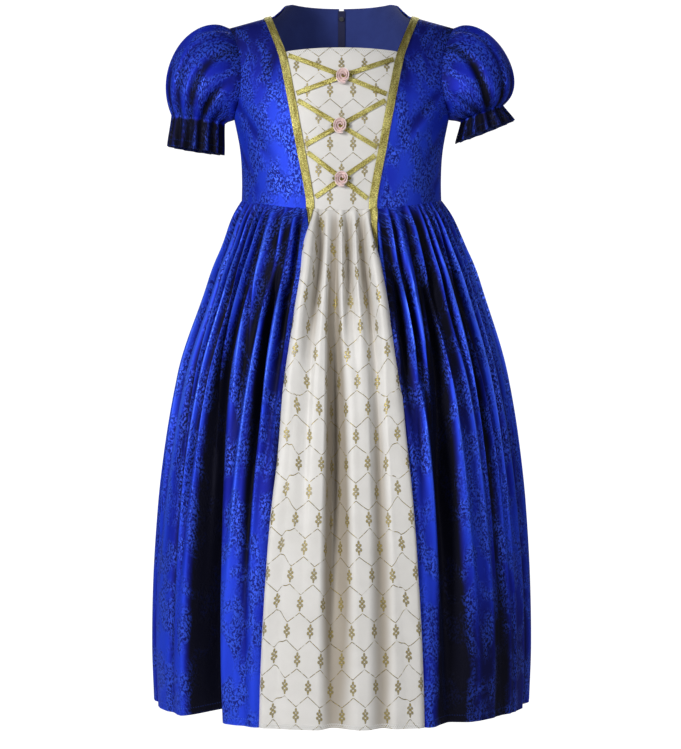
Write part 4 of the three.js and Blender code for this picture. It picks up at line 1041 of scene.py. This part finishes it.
def skirt_wall(name, node, grid, cloth):
    """A skirt panel with the seam allowance at its last edge, in the place of its solid."""
    points, normal, hollow = grid
    flat = flat_places(points, 0.5)
    points = drawn_in(points)
    way = points[:, -1] - points[:, -2]
    way /= np.linalg.norm(way, axis=-1, keepdims=True)
    last, last_out, last_flat, last_hollow = points[:, -1], normal[:, -1], flat[:, -1], hollow[:, -1]
    for past, under in SEAM_ALLOWANCE:
        points = np.concatenate([points, (last + way * past - last_out * under)[:, None]], axis=1)
        normal = np.concatenate([normal, last_out[:, None]], axis=1)
        flat = np.concatenate([flat, (last_flat + [past, 0])[:, None]], axis=1)
        hollow = np.concatenate([hollow, last_hollow[:, None]], axis=1)
    hem = flat[..., 1] - flat[-1:, :, 1]
    piece = cloth_wall(name, points, normal, (0, -cloth[0]), flat, cloth, hollow=hollow, hem=hem)
    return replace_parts(piece, node)


def side_seam(drop):
    return np.pi / 2 + 0 * drop


def centre_back(drop):
    return np.pi + 0 * drop


def on_right(seam):
    """A seam's mirror image on the wearer's right."""
    return lambda drop: -seam(drop)


# A lean has the edge it is at, its reach, how far it goes and the drop where it begins.
skirt_grids = {
    "front_left": skirt_grid(seam_angle, side_seam, FRONT_COLUMNS, [(1, 20, 8, 20)]),
    "front_right": skirt_grid(
        on_right(side_seam), on_right(seam_angle), FRONT_COLUMNS, [(-1, 20, 9, -20)]
    ),
    "back_left": skirt_grid(side_seam, centre_back, BACK_COLUMNS),
    "back_right": skirt_grid(on_right(centre_back), on_right(side_seam), BACK_COLUMNS),
}
for word, grid in skirt_grids.items():
    piece = skirt_wall(f"velvet_skirt_{word}", f"skirt_{word}", grid, velvet)

# Skirt centre front: one gored panel of the same brocade, gathered into five at the waist, with
# a long sharp fold left of its middle.
BROCADE_COLUMNS = 160
BROCADE_SHADE = 0.3
points, normal, hollow = skirt_grid(
    on_right(seam_angle), seam_angle, BROCADE_COLUMNS, [(1, 24, 11, -20), (-1, 24, 11, 5)]
)
down = shares(BROCADE_COLUMNS, SKIRT_ROWS)[1]
# Painted shade that darkens the brocade towards the bottom.
brocade_grid = (points, normal, hollow + BROCADE_SHADE * ease((down - 0.4) / 0.4))
brocade_skirt = skirt_wall("brocade_skirt", "skirt_front_centre", brocade_grid, brocade)

# Gold ribbon: woven metallic braid sewn flat over the princess seams, from each shoulder down
# the neck edge to the waist, and on down the skirt's seams, where the folds mostly hide it.
RIBBON_THICKNESS = 0.8
LYING_GAP = 0.5
TRIM_GAP = 0.95
RIBBON_COLUMNS, RIBBON_ROWS = 10, 160
GOLD_WARP = 0.0011
GOLD_WEFT = 0.0013
GOLD_DARK = srgb(120, 102, 20)
GOLD_LIGHT = srgb(240, 232, 146)


def make_gold():
    """Flat metal braid: a fine weave, glints, and duller lengths where it has rubbed."""
    material, surface, flat = new_material("gold_ribbon")
    across, down = flat.apart()
    weave = across.wave(GOLD_WARP) * down.wave(GOLD_WEFT)
    glitter = flat.noise(0.0014, 2).step(0.38, 0.62)
    worn = flat.stretched(1, 3).noise(0.008, 3).step(0.35, 0.7)
    colour = (glitter * 0.55 + worn * 0.45).colours(GOLD_DARK, GOLD_LIGHT)
    finish_surface(
        surface, {},
        {"Base Color": colour, "Metallic": 0.75 + glitter * 0.15, "Roughness": 0.5 - glitter * 0.15,
         "Normal": (weave * 0.5 + glitter * 0.5).bump(0.0002)},
    )
    return material


def across_seam(values, along, spots):
    """Reads each row of a grid's values at other lengths along the row."""
    read = [
        [np.interp(at, places, row[:, part]) for part in range(values.shape[-1])]
        for at, places, row in zip(spots, along, values)
    ]
    return np.array(read).transpose(0, 2, 1)


gold = (RIBBON_THICKNESS, [make_gold()], "gold_ribbon")
for side, word in ((1, "left"), (-1, "right")):
    across, down = shares(RIBBON_COLUMNS, RIBBON_ROWS)
    centre = mix(0, waist_height(front_waist_angle) + SEAM_GAP, down**2)
    x = princess_x(centre) + RIBBON_WIDTH * (across - 0.5)
    height = np.minimum(centre, shoulder_line(x) - SEAM_GAP)
    piece = bodice_wall(
        f"gold_trim_bodice_{word}", angle_at(x, height), height, side, gold,
        lift=LYING_GAP + RIBBON_THICKNESS, keep=-1, centre=0.5,
    )
    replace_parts(piece, f"bodice_trim_{word}")
    if side > 0:
        first, second = brocade_grid, skirt_grids["front_left"]
    else:
        first, second = skirt_grids["front_right"], brocade_grid
    points = np.concatenate([first[0], second[0][:, 1:]], axis=1)
    normal = np.concatenate([first[1], second[1][:, 1:]], axis=1)
    along = arc_lengths(points)
    seam = first[0].shape[1] - 1
    spots = np.linspace(-RIBBON_WIDTH / 2, RIBBON_WIDTH / 2, RIBBON_COLUMNS + 1)
    spots = along[:, seam:seam + 1] + spots
    line, out = across_seam(points, along, spots), across_seam(normal, along, spots)
    out /= np.linalg.norm(out, axis=-1, keepdims=True)
    flat = flat_places(line, 0.5)
    levels = (TRIM_GAP + RIBBON_THICKNESS, TRIM_GAP)
    piece = cloth_wall(f"gold_trim_skirt_{word}", drawn_in(line), out, levels, flat, gold)
    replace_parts(piece, f"skirt_trim_{word}")

# Lacing: narrow gold ribbon crossed three times over the stomacher and sewn under the side
# ribbons. The one that rises to the wearer's left goes over the other.
LACE_WIDTH = 5.7
LACES = {  # high right, high left, low right, low left ends
    "upper": (-50.6, -55, -94.9, -95.7),
    "middle": (-103, -103, -153.1, -155.8),
    "lower": (-161.9, -165.3, -212.2, -213.9),
}
LACE_RISE = 1.4
LACE_RISE_REACH = 11
LACE_FLAT_OVER = 1.6
LACE_COLUMNS, LACE_ROWS = 6, 60
LACE_END = RIBBON_WIDTH / 2 + SEAM_GAP + 1.7
crossings = {}
for pair, (high_right, high_left, low_right, low_left) in LACES.items():
    ribbons = {}
    for way, right, left in (("rising", low_right, high_left), ("falling", high_right, low_left)):
        start = np.array([-(princess_x(right) - LACE_END), right])
        end = np.array([princess_x(left) - LACE_END, left])
        ribbons[way] = (start, end - start)
    (over_start, over_run), (under_start, under_run) = ribbons["rising"], ribbons["falling"]
    apart = under_start - over_start
    share = (apart[0] * under_run[1] - apart[1] * under_run[0]) / (
        over_run[0] * under_run[1] - over_run[1] * under_run[0]
    )
    crossing = over_start + over_run * share
    crossings[pair] = crossing
    for way, (start, run) in ribbons.items():
        sideways = np.array([-run[1], run[0]]) / np.linalg.norm(run)
        across, down = shares(LACE_COLUMNS, LACE_ROWS)
        middle = start + run * down[..., None]
        spots = middle + sideways * ((0.5 - across) * LACE_WIDTH)[..., None]
        near = ease(LACE_FLAT_OVER - np.linalg.norm(middle - crossing, axis=-1) / LACE_RISE_REACH)
        rise = (LACE_RISE if way == "rising" else 0) * near
        points, normal = on_bodice(angle_at(spots[..., 0], spots[..., 1]), spots[..., 1])
        flat = flat_places(points, 0.5)
        points = drawn_in(points + normal * rise[..., None])
        levels = (LYING_GAP + RIBBON_THICKNESS, LYING_GAP)
        piece = cloth_wall(f"gold_lacing_{pair}_{way}", points, normal, levels, flat, gold)
        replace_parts(piece, f"lacing_{pair}_{way}")

# Rosebuds and leaves: pale pink satin ribbon rolled into a bud, with a loop of narrow
# green-gold ribbon at each side, all sewn through the crossing of the lacing.
ROSE_RADIUS = 8.8
ROSE_CORE = 0.4
ROSE_RIM = 1.9
ROSE_HEIGHT = 5.5
ROSE_RIM_HEIGHT = 3.6
ROSE_TURNS = 2.8
ROSE_BASE_THICK = 2.4
ROSE_EDGE_THICK = 0.4
ROSE_COLUMNS, ROSE_ROWS = 200, 8
PETALS_IN_TURN = 1.9
PETAL_WAVE = 0.45
PETAL_LIFT = 0.35
LEAF_LENGTH = 8
LEAF_WIDTH = 4.6
LEAF_START = 3.6
LEAF_RISE = 1.3
LEAF_THICKNESS = 0.3
RIBBON_THREAD = 0.0005
ROSE_PINK = srgb(255, 240, 238)
ROSE_SHADE = srgb(250, 220, 218)
LEAF_DARK = srgb(70, 66, 12)
LEAF_LIGHT = srgb(150, 140, 48)


def make_ribbon(name, dark, light, metallic, roughness):
    """A fine weave between two tones of a colour, also used for the zip's tape and metal."""
    material, surface, flat = new_material(name)
    threads = flat.apart()[0].ribs(RIBBON_THREAD)
    cloudy = flat.noise(0.002, 3)
    finish_surface(
        surface, {"Sheen Weight": 0.2},
        {"Base Color": (threads * 0.3 + cloudy * 0.7).colours(dark, light),
         "Metallic": metallic + cloudy * 0.1, "Roughness": roughness - threads * 0.08,
         "Normal": threads.bump(0.00008)},
    )
    return material


rose_satin = make_ribbon("rose_ribbon", ROSE_SHADE, ROSE_PINK, 0, 0.5)
leaf_satin = make_ribbon("leaf_ribbon", LEAF_DARK, LEAF_LIGHT, 0.4, 0.5)
rose_ribbon = (ROSE_EDGE_THICK, [rose_satin], "rose_ribbon")
leaf_ribbon = (LEAF_THICKNESS, [leaf_satin], "leaf_ribbon")
for pair, crossing in crossings.items():
    base, normal = on_bodice(angle_at(crossing[0], crossing[1]), crossing[1])
    base = base + normal * (LYING_GAP + RIBBON_THICKNESS + LACE_RISE + SEAM_GAP)
    turn = np.array(Vector((0, 0, 1)).rotation_difference(Vector(normal)).to_matrix())
    around, up = shares(ROSE_COLUMNS, ROSE_ROWS)
    spiral = around * ROSE_TURNS * 2 * np.pi
    radius = mix(ROSE_CORE, ROSE_RADIUS - ROSE_RIM, around**0.8)
    petals = PETAL_WAVE * np.sin(spiral * PETALS_IN_TURN) * around
    lean = mix(0.3, 1.7, around) * up**2
    band = radius + petals + lean
    rise = up * mix(ROSE_HEIGHT, ROSE_RIM_HEIGHT, around)
    rise = rise + PETAL_LIFT * np.sin(spiral * PETALS_IN_TURN + 1) * up
    points = np.stack([band * np.cos(spiral), band * np.sin(spiral), rise], axis=-1)
    thick = np.stack([np.cos(spiral), np.sin(spiral), 0 * spiral], axis=-1)
    thick = thick * mix(ROSE_BASE_THICK, ROSE_EDGE_THICK, ease(up / 0.6))[..., None]
    flat = flat_places(points, 0)
    piece = wall_between(
        f"rose_ribbon_{pair}", base + (points + thick) @ turn.T, base + points @ turn.T, flat, rose_ribbon
    )
    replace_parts(piece, f"rosebud_{pair}")
    for side, word in ((1, "left"), (-1, "right")):
        along, over = shares(30, 8)
        sweep = np.sin(np.pi * np.clip(along, 0, 1)) ** 0.7
        wide = LEAF_WIDTH / 2 * (0.25 + 0.75 * sweep) * (2 * over - 1)
        away = side * (LEAF_START + (LEAF_LENGTH - 1) * along)
        rise = LEAF_THICKNESS + LEAF_RISE * sweep * (1 - (2 * over - 1) ** 2 * 0.6)
        points = np.stack([away, wide, rise], axis=-1)
        flat = flat_places(points, 0)
        if side < 0:
            points, flat = points[::-1], flat[::-1]
        lower = points - np.array([0, 0, LEAF_THICKNESS])
        piece = wall_between(
            f"leaf_loop_{pair}_{word}", base + points @ turn.T, base + lower @ turn.T, flat, leaf_ribbon
        )
        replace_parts(piece, f"leaf_{pair}_{word}")

# Zip: woven tape sewn behind the backs' folded edges, with a nylon coil chain between them and
# a pressed metal slider, closed at the top. Its pull tab swings on the slider's bridge.
TAPE_DARK = srgb(16, 18, 52)
TAPE_LIGHT = srgb(36, 42, 92)
METAL_DARK = srgb(120, 124, 130)
METAL_LIGHT = srgb(196, 198, 202)
tape_cloth = make_ribbon("zip_tape_cloth", TAPE_DARK, TAPE_LIGHT, 0, 0.8)
zip_metal = make_ribbon("zip_metal", METAL_DARK, METAL_LIGHT, 0.85, 0.35)
for name, material, slot in (
    ("zip_tape", tape_cloth, "zip_tape"), ("zip_chain", tape_cloth, "zip_tape"),
    ("zip_slider", zip_metal, "zip_metal"), ("zip_pull", zip_metal, "zip_metal"),
):
    node = bpy.data.objects[name]
    node.data.materials.clear()
    node.data.materials.append(material)

# Studio: a pale floor below the hem, which the dress hangs clear of, a white backdrop all
# round, and large soft lights from the front, the two sides and above.
FLOOR_HEIGHT = -1.1
FLOOR_HALF = 1.0
BACKDROP_STRENGTH = 1.02
AMBIENT_STRENGTH = 0.1
floor_mesh = bpy.data.meshes.new("studio_floor")
corners = ((-FLOOR_HALF, -FLOOR_HALF), (FLOOR_HALF, -FLOOR_HALF), (FLOOR_HALF, FLOOR_HALF),
           (-FLOOR_HALF, FLOOR_HALF))
floor_mesh.from_pydata([(x, y, FLOOR_HEIGHT) for x, y in corners], [], [(0, 1, 2, 3)])
floor_material, floor_surface = new_material("pale_floor")[:2]
finish_surface(floor_surface, {"Base Color": (0.9, 0.9, 0.9, 1), "Roughness": 0.9}, {})
floor_mesh.materials.append(floor_material)
floor = bpy.data.objects.new("studio_floor", floor_mesh)
bpy.context.scene.collection.objects.link(floor)

world = bpy.data.worlds.new("studio_white")
bpy.context.scene.world = world
world.use_nodes = True
background = world.node_tree.nodes["Background"]
background.inputs["Color"].default_value = (1, 1, 1, 1)
rays = world.node_tree.nodes.new("ShaderNodeLightPath")
seen = Shade(world.node_tree, rays.outputs["Is Camera Ray"])
strength = seen * BACKDROP_STRENGTH + AMBIENT_STRENGTH
world.node_tree.links.new(strength.socket, background.inputs["Strength"])

for name, place, aim, size, power in (  # metres and watts
    ("key_light", (-1.7, -2.0, 0.5), (0, 0, -0.35), 0.8, 58),
    ("fill_light", (1.5, -2.0, 0.2), (0, 0, -0.4), 0.9, 15),
    ("back_light", (0.2, 2.0, 1.0), (0, 0, -0.4), 1.5, 22),
):
    lamp_data = bpy.data.lights.new(name, "AREA")
    lamp_data.size = size
    lamp_data.energy = power
    lamp = bpy.data.objects.new(name, lamp_data)
    lamp.location = place
    lamp.rotation_euler = (Vector(aim) - Vector(place)).to_track_quat("-Z", "Y").to_euler()
    bpy.context.scene.collection.objects.link(lamp)
bpy.context.scene.view_settings.view_transform = "Standard"
